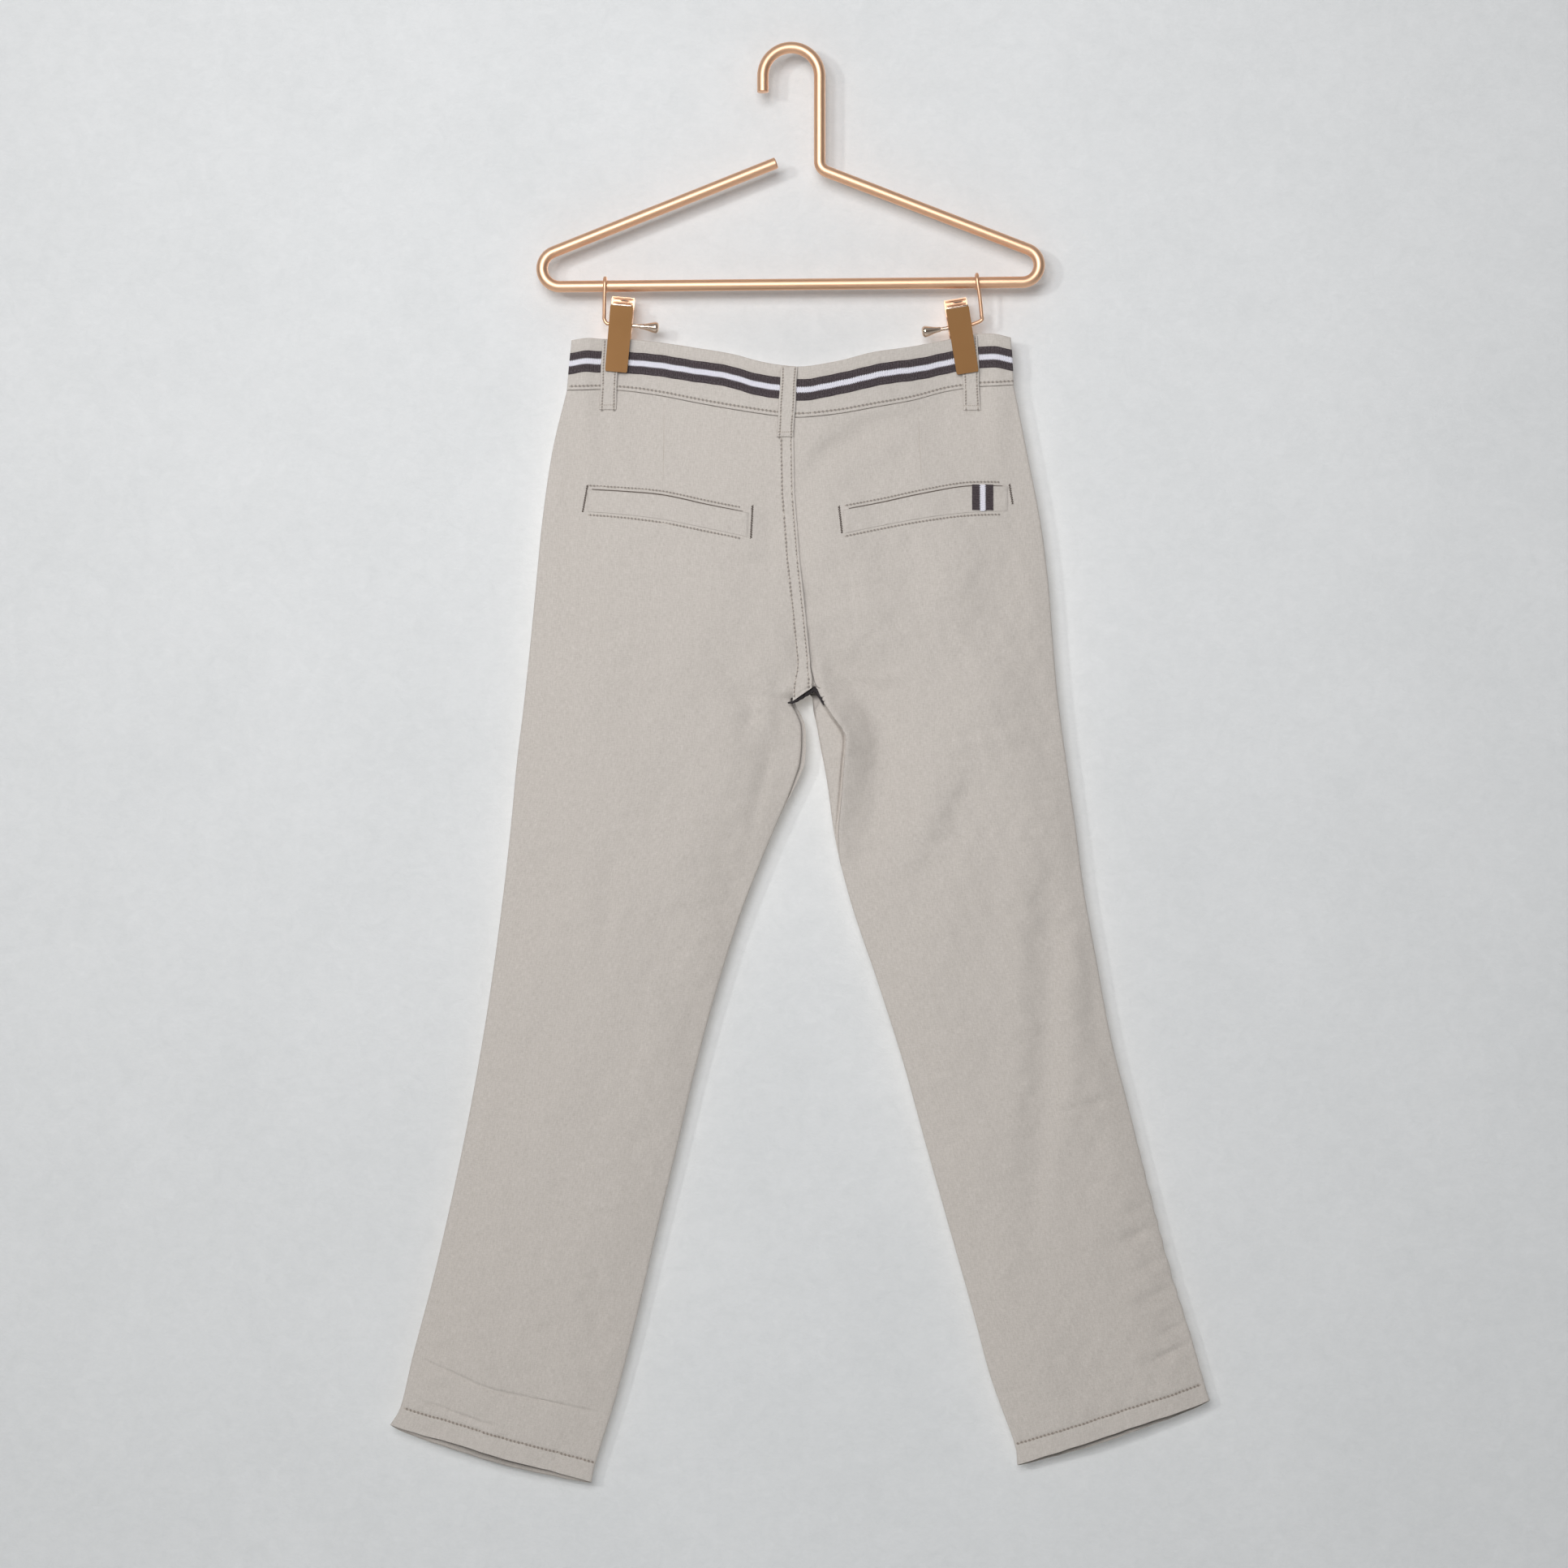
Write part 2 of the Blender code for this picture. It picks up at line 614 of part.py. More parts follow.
def make_seat_seam():
    """The felled seam down the centre back, laid over both back panels."""
    outer = []
    inner = []
    for k in range(CROTCH * ROWS_A_SECTION + 1):
        place = k / ROWS_A_SECTION
        if k == 0:
            place = 0.03
        rows = []
        for outward in (WALL + SEAM_GAP + SEAT_SEAM_THICK, WALL + SEAM_GAP):
            left = section_at("left", place)
            right = section_at("right", place)
            left_across = 1.0 - SEAT_SEAM_LEFT / (left.inner_x - left.outer_x)
            right_across = 1.0 - SEAT_SEAM_RIGHT / (right.outer_x - right.inner_x)
            edge = Vector(panel_point("left", "back", 1.0, place, outward))
            edge = (edge + Vector(panel_point("right", "back", 1.0, place, outward))) / 2
            rows.append([
                panel_point("left", "back", left_across, place, outward),
                tuple(edge),
                panel_point("right", "back", right_across, place, outward),
            ])
        outer.append(rows[0])
        inner.append(rows[1])
    add_wall("seat_seam", outer, inner, "linen_cotton_twill")


def make_back_pockets():
    """A welt on each back panel, and the striped tab sewn over the right one."""
    for side, welts in BACK_POCKETS.items():
        outer = []
        inner = []
        for share in (0.0, 0.5, 1.0):
            outer_row = []
            inner_row = []
            for c in range(WELT_COLUMNS + 1):
                welt = Welt(*smooth_row(welts, c / WELT_COLUMNS * (len(welts) - 1)))
                z = mix(welt.top_z, welt.bottom_z, share)
                y = outside_y("back", welt.x, z, LAID_GAP)
                outer_row.append((welt.x, y - WELT_THICK, z))
                inner_row.append((welt.x, y, z))
            outer.append(outer_row)
            inner.append(inner_row)
        add_wall(f"pocket_welt_{side}", outer, inner, "linen_cotton_twill")
    outer = []
    inner = []
    for share in (0.0, 0.5, 1.0):
        z = mix(TAB_TOP_Z, TAB_BOTTOM_Z, share)
        columns = [mix(TAB_LEFT_X, TAB_RIGHT_X, c / 2) for c in range(3)]
        inner_row = [(x, outside_y("back", x, z, 2 * LAID_GAP + WELT_THICK), z) for x in columns]
        inner.append(inner_row)
        outer.append([(x, y - TAPE_THICK, z) for x, y, z in inner_row])
    add_wall("pocket_tab", outer, inner, "striped_grosgrain")


def make_front_details():
    """Placket beside the centre front, slanted pocket edges and the waist button."""
    top = waist_at(0.0).seam_z - 1.5
    outer = []
    inner = []
    for k in range(13):
        share = k / 12
        z = top - FLY_LENGTH * share
        width = FLY_WIDTH
        if share > FLY_CURVE:
            width *= math.sqrt(max(1.0 - ((share - FLY_CURVE) / (1.0 - FLY_CURVE)) ** 2, 0.02))
        edge = centre_x(z) - SEAM_GAP
        columns = [edge - width * c / 3 for c in range(4)]
        inner_row = [(x, outside_y("front", x, z, LAID_GAP), z) for x in columns]
        inner.append(inner_row)
        outer.append([(x, y + WELT_THICK, z) for x, y, z in inner_row])
    add_wall("fly_placket", outer, inner, "linen_cotton_twill")

    run = math.hypot(POCKET_EDGE_BOTTOM_X - POCKET_EDGE_TOP_X, POCKET_EDGE_TOP_Z - POCKET_EDGE_BOTTOM_Z)
    for side, outward in (("left", -1.0), ("right", 1.0)):
        outer = []
        inner = []
        for k in range(13):
            share = k / 12
            inner_row = []
            for edge in (-0.5, 0.0, 0.5):
                reach = edge * POCKET_EDGE_WIDTH / run
                x = mix(POCKET_EDGE_TOP_X, POCKET_EDGE_BOTTOM_X, share)
                x += reach * (POCKET_EDGE_TOP_Z - POCKET_EDGE_BOTTOM_Z)
                z = mix(POCKET_EDGE_TOP_Z, POCKET_EDGE_BOTTOM_Z, share)
                z += reach * (POCKET_EDGE_BOTTOM_X - POCKET_EDGE_TOP_X)
                inner_row.append((outward * x, outside_y("front", outward * x, z, LAID_GAP), z))
            inner.append(inner_row)
            outer.append([(x, y + WELT_THICK, z) for x, y, z in inner_row])
        add_wall(f"front_pocket_edge_{side}", outer, inner, "linen_cotton_twill")

    waist = waist_at(BUTTON_X)
    z = waist.top_z - TAPE_DROP - TAPE_WIDTH / 2
    start = outside_y("front", BUTTON_X, z, TAPE_THICK + 2 * SEAM_GAP + 0.1)
    profile = [
        (0.0, BUTTON_RADIUS * 0.8),
        (BUTTON_THICK * 0.35, BUTTON_RADIUS),
        (BUTTON_THICK * 0.8, BUTTON_RADIUS),
        (BUTTON_THICK, BUTTON_RADIUS * 0.88),
        (BUTTON_THICK * 0.8, BUTTON_RADIUS * 0.68),
        (BUTTON_THICK * 0.8, BUTTON_RADIUS * 0.2),
    ]
    add_turned("waist_button", profile, (BUTTON_X, start, z), (0.0, 1.0, 0.0), "horn_button", 20)


# ---- hanger and clips ----------------------------------------------------------------------

def rod_path():
    """The rod's centre line, with an arc at each corner."""
    path = [Vector((ROD_CORNERS[0].x, 0.0, ROD_CORNERS[0].z))]
    for before, corner, after in zip(ROD_CORNERS, ROD_CORNERS[1:], ROD_CORNERS[2:]):
        here = Vector((corner.x, 0.0, corner.z))
        back = (Vector((before.x, 0.0, before.z)) - here).normalized()
        ahead = (Vector((after.x, 0.0, after.z)) - here).normalized()
        half = back.angle(ahead) / 2
        centre = here + (back + ahead).normalized() * corner.radius / math.sin(half)
        start = here + back * corner.radius / math.tan(half) - centre
        sweep = math.pi - 2 * half
        turn = start.cross(-back).normalized()
        steps = max(int(math.ceil(sweep / ARC_STEP)), 2)
        for k in range(steps + 1):
            angle = sweep * k / steps
            place = centre + start * math.cos(angle) + turn.cross(start) * math.sin(angle)
            if (place - path[-1]).length > 0.5:
                path.append(place)
    path.append(Vector((ROD_CORNERS[-1].x, 0.0, ROD_CORNERS[-1].z)))
    return path


def make_hanger():
    """Hook, stem, arms and trouser bar, bent from one rod."""
    add_tube("hanger_rod", rod_path(), ROD_RADIUS, ROD_SIDES, "satin_copper")


def clip_point(clip, x, y, z):
    """A point given from the middle of a clip's pin, turned with the clip."""
    angle = math.radians(clip.tilt)
    return (
        clip.pivot_x + x * math.cos(angle) + z * math.sin(angle),
        y,
        clip.pivot_z - x * math.sin(angle) + z * math.cos(angle),
    )


def make_jaw(clip, layer, held, pin_y):
    """One sheet-metal jaw: a plate with a lip down each side that deepens at the pin."""
    facing = -1.0 if layer == "front" else 1.0
    face = facing * (held + JAW_CLEARANCE)
    reach = abs(face - pin_y) - WIRE_RADIUS - JAW_CLEARANCE
    rise = 0.0 if layer == "front" else BACK_JAW_RISE
    rows = [
        (JAW_ABOVE_PIN + rise, 0.94, JAW_LIP),
        (JAW_ABOVE_PIN + rise - 1.5, 1.0, JAW_LIP),
        (PIN_HALF + 3.0, 1.0, JAW_LIP),
        (PIN_HALF, 1.0, reach),
        (-PIN_HALF, 1.0, reach),
        (-PIN_HALF - 3.0, 1.0, 0.0),
        (-JAW_BELOW_PIN + 1.5, 1.0, 0.0),
        (-JAW_BELOW_PIN, 0.94, 0.0),
    ]
    rings = []
    for z, fullness, lip in rows:
        share = (JAW_ABOVE_PIN - z) / (JAW_ABOVE_PIN + JAW_BELOW_PIN)
        half = mix(JAW_TOP_WIDTH, JAW_BOTTOM_WIDTH, share) / 2 * fullness
        tip = face - facing * max(lip, 0.01)
        far = face + facing * JAW_SHEET
        ring = [
            (-half, far), (half, far), (half, tip), (half - JAW_SHEET, tip),
            (half - JAW_SHEET, face), (-half + JAW_SHEET, face), (-half + JAW_SHEET, tip), (-half, tip),
        ]
        rings.append([clip_point(clip, x, y, z) for x, y in ring])
    add_loft(f"{clip.name}_{layer}_jaw", rings, "bronze_sheet")


def make_clips():
    """Two sprung clips, each hung on the bar by a wire that is also its pin."""
    cloth = SEAM_GAP / 2 + WALL + SEAM_GAP + TAPE_THICK
    for clip in CLIPS:
        front_held = cloth + 2 * SEAM_GAP + 0.3 + LOOP_THICK
        back_held = cloth
        pin_y = (back_held - front_held) / 2
        make_jaw(clip, "front", front_held, pin_y)
        make_jaw(clip, "back", back_held, pin_y)

        bar = (clip.bar_x, 0.0, BAR_Z + BAR_SLOPE * clip.bar_x)
        reach = ROD_RADIUS + WIRE_CLEARANCE + WIRE_RADIUS
        route = []
        for degrees in (-40, 0, 35, 70, 105, 140, 180):
            angle = math.radians(degrees)
            route.append((bar[0], reach * math.cos(angle), bar[2] + reach * math.sin(angle)))
        half = JAW_TOP_WIDTH / 2
        leg_z = clip.pivot_z + 8.0
        route.append((mix(bar[0], clip.leg_x, 0.6), mix(-reach, pin_y, 0.35), mix(bar[2], leg_z, 0.5)))
        route.append((clip.leg_x, mix(-reach, pin_y, 0.8), leg_z))
        side = clip.wire_side
        route.append((clip.leg_x, pin_y, clip_point(clip, side * half, 0.0, 3.2)[2]))
        for along in (half + 1.8, half - 1.0, 0.0, -half, -KNOB_START + SEAM_GAP):
            route.append(clip_point(clip, side * along, pin_y, 0.0))
        add_tube(f"{clip.name}_wire", smooth_path(route, 3), WIRE_RADIUS, WIRE_SIDES, "satin_copper")

        along = Vector(clip_point(clip, -side, 0.0, 0.0)) - Vector(clip_point(clip, 0.0, 0.0, 0.0))
        profile = []
        for k in range(9):
            share = k / 8
            radius = mix(1.6, KNOB_RADIUS, share ** 1.3)
            profile.append((KNOB_LENGTH * 0.82 * share, radius))
        for degrees in (30, 55, 75):
            angle = math.radians(degrees)
            profile.append((KNOB_LENGTH * (0.82 + 0.18 * math.sin(angle)), KNOB_RADIUS * math.cos(angle)))
        start = clip_point(clip, -side * KNOB_START, pin_y, 0.0)
        add_turned(f"{clip.name}_knob", profile, start, along, "satin_copper")

        bore = WIRE_RADIUS + WIRE_CLEARANCE
        rise = SPRING_RADIUS - 0.7
        profile = [(-SPRING_LENGTH / 2, bore), (SPRING_LENGTH / 2, bore)]
        for k in range(2 * SPRING_TURNS, -1, -1):
            radius = SPRING_RADIUS if k % 2 else rise
            profile.append((SPRING_LENGTH * (k / (2 * SPRING_TURNS) - 0.5), radius + 0.2))
        centre = clip_point(clip, 0.0, pin_y, 0.0)
        add_turned(f"{clip.name}_spring", profile, centre, along, "satin_copper", 12, closed=True)


for leftover in list(bpy.data.objects):
    bpy.data.objects.remove(leftover)

make_panels()
make_waist()
make_belt_loops()
make_seat_seam()
make_back_pockets()
make_front_details()
make_hanger()
make_clips()
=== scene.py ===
import math

import bmesh
import bpy
import numpy as np
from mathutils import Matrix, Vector


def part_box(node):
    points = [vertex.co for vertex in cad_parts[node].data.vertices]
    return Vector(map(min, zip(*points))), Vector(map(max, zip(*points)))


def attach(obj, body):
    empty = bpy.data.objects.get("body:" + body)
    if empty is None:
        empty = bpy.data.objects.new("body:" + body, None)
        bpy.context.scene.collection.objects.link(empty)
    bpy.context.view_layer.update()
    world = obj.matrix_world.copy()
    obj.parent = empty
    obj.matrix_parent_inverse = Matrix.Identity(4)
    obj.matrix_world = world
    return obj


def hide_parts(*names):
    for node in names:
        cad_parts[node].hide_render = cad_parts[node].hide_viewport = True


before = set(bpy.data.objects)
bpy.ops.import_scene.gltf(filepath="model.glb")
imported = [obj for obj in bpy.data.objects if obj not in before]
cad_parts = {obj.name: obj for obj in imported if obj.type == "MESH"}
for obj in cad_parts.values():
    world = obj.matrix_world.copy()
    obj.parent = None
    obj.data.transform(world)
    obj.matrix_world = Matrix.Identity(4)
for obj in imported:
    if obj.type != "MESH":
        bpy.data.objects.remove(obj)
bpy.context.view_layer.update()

# Left and right are the wearer's, the back faces -Y and z = 0 is the inside top of the hook.
# Tables are in millimetres, meshes in metres.
mm = 0.001
pieces = {}


def linearColour(code):
    channels = [int(code[k:k + 2], 16) / 255 for k in (1, 3, 5)]
    return [c / 12.92 if c <= 0.04045 else ((c + 0.055) / 1.055) ** 2.4 for c in channels] + [1.0]


def addNode(tree, kind, settings=(), links=()):
    # settings are sockets by name or number, or the node's own options; links are (node, output)
    node = tree.nodes.new("ShaderNode" + kind)
    for name, value in dict(settings).items():
        if isinstance(name, int) or name in node.inputs:
            node.inputs[name].default_value = value
        else:
            setattr(node, name, value)
    for name, (source, output) in dict(links).items():
        tree.links.new(source.outputs[output], node.inputs[name])
    return node


def newMaterial(name, shaderSettings):
    material = bpy.data.materials.new(name)
    material.use_nodes = True
    tree = material.node_tree
    shader = tree.nodes["Principled BSDF"]
    for socket, value in shaderSettings.items():
        shader.inputs[socket].default_value = value
    return material, tree, shader


def connect(tree, shader, colour, height=None, strength=0.0, depth=0.0):
    # the colour and, where there is one, the bump with its depth in mm
    links = {"Base Color": colour}
    if height:
        bump = addNode(tree, "Bump", {"Strength": strength, "Distance": depth * mm}, {"Height": height})
        links["Normal"] = (bump, "Normal")
    for socket, (node, output) in links.items():
        tree.links.new(node.outputs[output], shader.inputs[socket])


def noise(tree, place, scale, detail, **more):
    return addNode(tree, "TexNoise", {"Scale": scale, "Detail": detail, **more}, {"Vector": place}), "Fac"


def stretched(tree, place, scale):
    return addNode(tree, "Mapping", {"Scale": scale}, {"Vector": place}), "Vector"


def calculate(tree, operation, first, second=None, added=None):
    # first and added are links, second is a link or a number
    settings, links = {"operation": operation}, {0: first}
    if isinstance(second, tuple):
        links[1] = second
    elif second is not None:
        settings[1] = second
    if added:
        links[2] = added
    return addNode(tree, "Math", settings, links), "Value"


def ranged(tree, value, low, high, toLow=0.0, toHigh=1.0, **more):
    settings = {"From Min": low, "From Max": high, "To Min": toLow, "To Max": toHigh, **more}
    return addNode(tree, "MapRange", settings, {"Value": value}), "Result"


def mixColours(tree, factor, first, second):
    # factor is a link, each colour a hex code or a link
    node = addNode(tree, "Mix", {"data_type": "RGBA"}, {"Factor": factor})
    for k, colour in ((6, first), (7, second)):
        if isinstance(colour, str):
            node.inputs[k].default_value = linearColour(colour)
        else:
            tree.links.new(colour[0].outputs[colour[1]], node.inputs[k])
    return node, 2


linen = {
    "light": "#CDC6BF",
    "dark": "#B5AEA6",
    "warp": 0.75,         # mm between the drawn threads; the real ones, 0.35 mm, would not show
    "warpLength": 4.5,    # mm, how far a thicker warp thread shows
    "weftLength": 3.6,
    "weftShare": 0.85,
    "mottle": (4.0, 48.0),  # mm across and along the warp
    "mottleShare": 0.2,
    "contrast": (0.66, 1.4),
    "roughness": 0.92,
    "sheen": 0.1,
    "bump": 0.4,
}


def makeLinen():
    # linen and cotton twill, garment washed: matt, with slubs both ways and a faint bloom
    material, tree, shader = newMaterial("linen cotton twill", {
        "Roughness": linen["roughness"], "Sheen Weight": linen["sheen"], "Sheen Roughness": 0.5})
    place = (addNode(tree, "UVMap"), "UV")
    across = 1 / linen["warp"]
    warp, weft = [noise(tree, stretched(tree, place, scale), 1.0, 2.0, Roughness=0.6) for scale in (
        (across, 1 / linen["warpLength"], 1.0), (1 / linen["weftLength"], across, 1.0))]
    crossed = calculate(tree, "MULTIPLY_ADD", weft, linen["weftShare"], warp)
    across, along = linen["mottle"]
    mottle = noise(tree, stretched(tree, place, (1 / across, 1 / along, 1.0)), 1.0, 3.0)
    summed = calculate(tree, "MULTIPLY_ADD", mottle, linen["mottleShare"], crossed)
    colour = mixColours(tree, ranged(tree, summed, *linen["contrast"]), linen["dark"], linen["light"])
    connect(tree, shader, colour, crossed, linen["bump"], 0.2)
    return material


grosgrain = {
    "dark": "#281F22",
    # the dark colour on the rib crests: painted highlight, mixed in with random flecks
    "darkFleckRibHighlight": "#54484C",
    "white": "#EEEDF3",
    # the white between the ribs: painted shade, mixed in with random flecks
    "whiteFleckRibShade": "#CFCDD8",
    "edges": (5.9, 9.9),  # mm from one selvedge to the white stripe's two edges
    "rib": 1.3,           # mm between the cross ribs
    "tooth": 0.45,        # mm that the colours step into each other at each rib
}


def makeGrosgrain():
    # polyester grosgrain ribbon, woven: dull, with cross ribs in the bump; its colour has random flecks with
    # painted highlight on the rib crests and painted shade between them
    material, tree, shader = newMaterial("ribbed grosgrain", {"Roughness": 0.78, "Sheen Weight": 0.1})
    place = (addNode(tree, "UVMap"), "UV")
    split = addNode(tree, "SeparateXYZ", {}, {"Vector": place})
    turn = calculate(tree, "MULTIPLY", (split, "X"), 2 * math.pi / grosgrain["rib"])
    ribs = calculate(tree, "SINE", turn)
    shifted = calculate(tree, "MULTIPLY_ADD", ribs, grosgrain["tooth"], (split, "Y"))
    low, high = grosgrain["edges"]
    stripe = calculate(tree, "MULTIPLY", calculate(tree, "GREATER_THAN", shifted, low),
                       calculate(tree, "LESS_THAN", shifted, high))
    # random flecks plus the rib sine, which paints highlight on the crests and shade between them
    flecksAndRibLight = calculate(tree, "MULTIPLY_ADD", ribs, 0.13, noise(tree, place, 1.1, 2.0))
    shade = ranged(tree, flecksAndRibLight, 0.35, 0.75)
    dark = mixColours(tree, shade, grosgrain["dark"], grosgrain["darkFleckRibHighlight"])
    white = mixColours(tree, shade, grosgrain["whiteFleckRibShade"], grosgrain["white"])
    connect(tree, shader, mixColours(tree, stripe, dark, white), ribs, 0.5, 0.2)
    return material


metals = {
    # colour, colour of the finer streaks, roughness, streak length in mm
    "satin copper lacquer": ("#EEC5A4", "#E2B594", 0.47, 9.0),
    "brushed bronze": ("#8C6944", "#81603F", 0.64, 22.0),
    "polished champagne": ("#EBD5C2", "#E0C8B2", 0.16, 6.0),
}


def makeMetal(name):
    # drawn rod and pressed sheet, plated: a broad soft highlight with faint streaks along it
    light, dark, roughness, streak = metals[name]
    material, tree, shader = newMaterial(name, {"Metallic": 1.0})
    place = (addNode(tree, "TexCoord"), "Object")
    lines = noise(tree, stretched(tree, place, (1000 / streak, 900.0, 1000 / streak)), 1.0, 3.0)
    rough, output = ranged(tree, lines, 0.0, 1.0, roughness - 0.05, roughness + 0.05)
    tree.links.new(rough.outputs[output], shader.inputs["Roughness"])
    connect(tree, shader, mixColours(tree, lines, dark, light), lines, 0.12, 0.05)
    return material


def makeHorn():
    # corozo button, turned and polished: brown mottle under a soft gloss
    material, tree, shader = newMaterial("corozo button", {"Roughness": 0.38})
    cloud = noise(tree, (addNode(tree, "TexCoord"), "Object"), 260.0, 4.0, Distortion=0.6)
    connect(tree, shader, mixColours(tree, cloud, "#6A563F", "#A08A6E"), cloud, 0.1, 0.1)
    return material


def makeThreadAndShade(name, light, dark):
    # spun polyester thread: matt, twisted, so it is light and dark along each stitch; the same matt material
    # also makes the painted shade at needle holes, slits and openings
    material, tree, shader = newMaterial(name, {"Roughness": 0.8})
    twist = noise(tree, (addNode(tree, "TexCoord"), "Object"), 900.0, 2.0)
    connect(tree, shader, mixColours(tree, twist, dark, light))
    return material


finishes = {
    "cloth": makeLinen(),
    "tape": makeGrosgrain(),
    "copper": makeMetal("satin copper lacquer"),
    "bronze": makeMetal("brushed bronze"),
    "champagne": makeMetal("polished champagne"),
    "horn": makeHorn(),
    "thread": makeThreadAndShade("beige polyester thread", "#C4BBB0", "#A69C91"),
    # painted shade at the needle holes between stitches, the hems' darker
    "needleHoleShade": makeThreadAndShade("painted shade in the needle holes", "#968E87", "#827B75"),
    "hemHoleShade": makeThreadAndShade("painted shade in the hem needle holes", "#9A9087", "#81786F"),
    # real brown bartack thread, also used as painted shade in the pocket slits, button eyes and thumb slots
    "brownThreadAndShade": makeThreadAndShade("brown polyester thread and painted shade", "#7A6F66", "#4E4640"),
    "darkThread": makeThreadAndShade("charcoal polyester thread", "#5C5457", "#443D40"),
    # painted shade of the crotch opening, as a near-black tube
    "openingShade": makeThreadAndShade("painted shade of the crotch opening", "#332D2E", "#221D1F"),
}
print("materials made")


def addPiece(name, mesh, finish, replaced=()):
    # an object that rides the body, in place of its solids
    mesh.materials.append(finishes[finish])
    piece = bpy.data.objects.new(name, mesh)
    bpy.context.collection.objects.link(piece)
    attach(piece, "root")
    if replaced:
        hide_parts(*replaced)
    pieces[name] = piece
    return piece


def addMesh(name, points, faces, finish, uv=None, sharpAngle=50.0, replaced=()):
    mesh = bpy.data.meshes.new(name)
    mesh.from_pydata((np.asarray(points, float) * mm).tolist(), [], [list(map(int, f)) for f in faces])
    if uv is not None:
        corners = np.zeros(len(mesh.loops), int)
        mesh.loops.foreach_get("vertex_index", corners)
        mesh.uv_layers.new(name="UVMap").data.foreach_set("uv", np.asarray(uv, float)[corners].ravel())
    shape = bmesh.new()
    shape.from_mesh(mesh)
    bmesh.ops.recalc_face_normals(shape, faces=shape.faces)
    shape.to_mesh(mesh)
    shape.free()
    mesh.shade_smooth()
    mesh.set_sharp_from_angle(angle=math.radians(sharpAngle))
    return addPiece(name, mesh, finish, replaced)


def quadRows(rows, columns, closed=False):
    r, c = np.meshgrid(np.arange(rows - 1), np.arange(columns if closed else columns - 1), indexing="ij")
    here, beside = r * columns + c, r * columns + (c + 1) % columns
    return np.stack([here, beside, beside + columns, here + columns], -1).reshape(-1, 4)


def addShell(name, outer, inner, finish, uv, node):
    # a closed wall of cloth between two grids of points
    rows, columns = outer.shape[:2]
    shift = rows * columns
    rim = list(range(columns)) + [r * columns + columns - 1 for r in range(1, rows)]
    rim += [(rows - 1) * columns + c for c in range(columns - 2, -1, -1)]
    rim += [r * columns for r in range(rows - 2, 0, -1)]
    quads = quadRows(rows, columns)
    faces = quads.tolist() + (quads + shift)[:, ::-1].tolist()
    faces += [[a, b, b + shift, a + shift] for a, b in zip(rim, rim[1:] + rim[:1])]
    points = np.concatenate([outer.reshape(-1, 3), inner.reshape(-1, 3)])
    return addMesh(name, points, faces, finish, np.concatenate([uv.reshape(-1, 2)] * 2), replaced=[node])


def addRings(name, rings, finish, replaced=(), sharpAngle=50.0):
    rings = np.asarray(rings, float)
    count, around = rings.shape[:2]
    faces = quadRows(count, around, closed=True).tolist()
    faces += [list(range(around)), [(count - 1) * around + k for k in range(around)]]
    addMesh(name, rings.reshape(-1, 3), faces, finish, replaced=replaced, sharpAngle=sharpAngle)


def addTube(name, path, radius, sides, finish, replaced=(), sharpAngle=50.0):
    # radius may be one number or one for each point
    path = [Vector(p) for p in path]
    radii = np.broadcast_to(radius, len(path))
    side = Vector((0.03, 1.0, 0.02))
    rings = []
    for k, place in enumerate(path):
        ahead = (path[min(k + 1, len(path) - 1)] - path[max(k - 1, 0)]).normalized()
        side = (side - ahead * side.dot(ahead)).normalized()
        other = ahead.cross(side)
        turns = [2 * math.pi * s / sides for s in range(sides)]
        rings.append([tuple(place + (side * math.cos(a) + other * math.sin(a)) * radii[k]) for a in turns])
    addRings(name, rings, finish, replaced, sharpAngle)


def rowsAt(table, places):
    # a smooth curve through a table's rows, 0 the first
    table = np.asarray(table, float)
    places = np.asarray(places, float)
    last = len(table) - 1
    k = np.clip(places.astype(int), 0, last - 1)
    f = (places - k)[..., None]
    ends = np.vstack([2 * table[0] - table[1], table, 2 * table[-1] - table[-2]])
    a, b, c, d = (ends[k + step] for step in range(4))
    return b + 0.5 * f * (c - a + f * (2 * a - 5 * b + 4 * c - d + f * (3 * (b - c) + d - a)))


def smoothed(table, steps):
    # the curve's rows, with so many steps from one row of the table to the next
    last = len(table) - 1
    return rowsAt(table, np.linspace(0, last, last * steps + 1))


def mix(a, b, share):
    return a + (b - a) * share


def ease(share):
    share = np.clip(share, 0.0, 1.0)
    return share * share * (3 - 2 * share)


def rounding(distance, radius):
    # height of a rounded edge, 0 at the edge and 1 from the radius inward
    share = np.clip(distance / radius, 0.0, 1.0)
    return np.sqrt(1 - (1 - share) ** 2)


def bell(x, centre, width):
    # 1 at the centre, falling off on both sides
    return np.exp(-((x - centre) / width) ** 2)


def runFrom(steps):
    # places along a line, from the lengths of its steps
    return np.concatenate([[0.0], np.cumsum(steps)])


def edgedSteps(length, step, radius=1.4):
    # places along a length, close together where the ends are rounded
    near = np.array([0.0, 0.06, 0.2, 0.45, 0.75, 1.0]) * radius
    count = max(int(round((length - 2 * radius) / step)), 1)
    middle = np.linspace(radius, length - radius, count + 1)
    return np.concatenate([near[:-1], middle, length - near[-2::-1]])


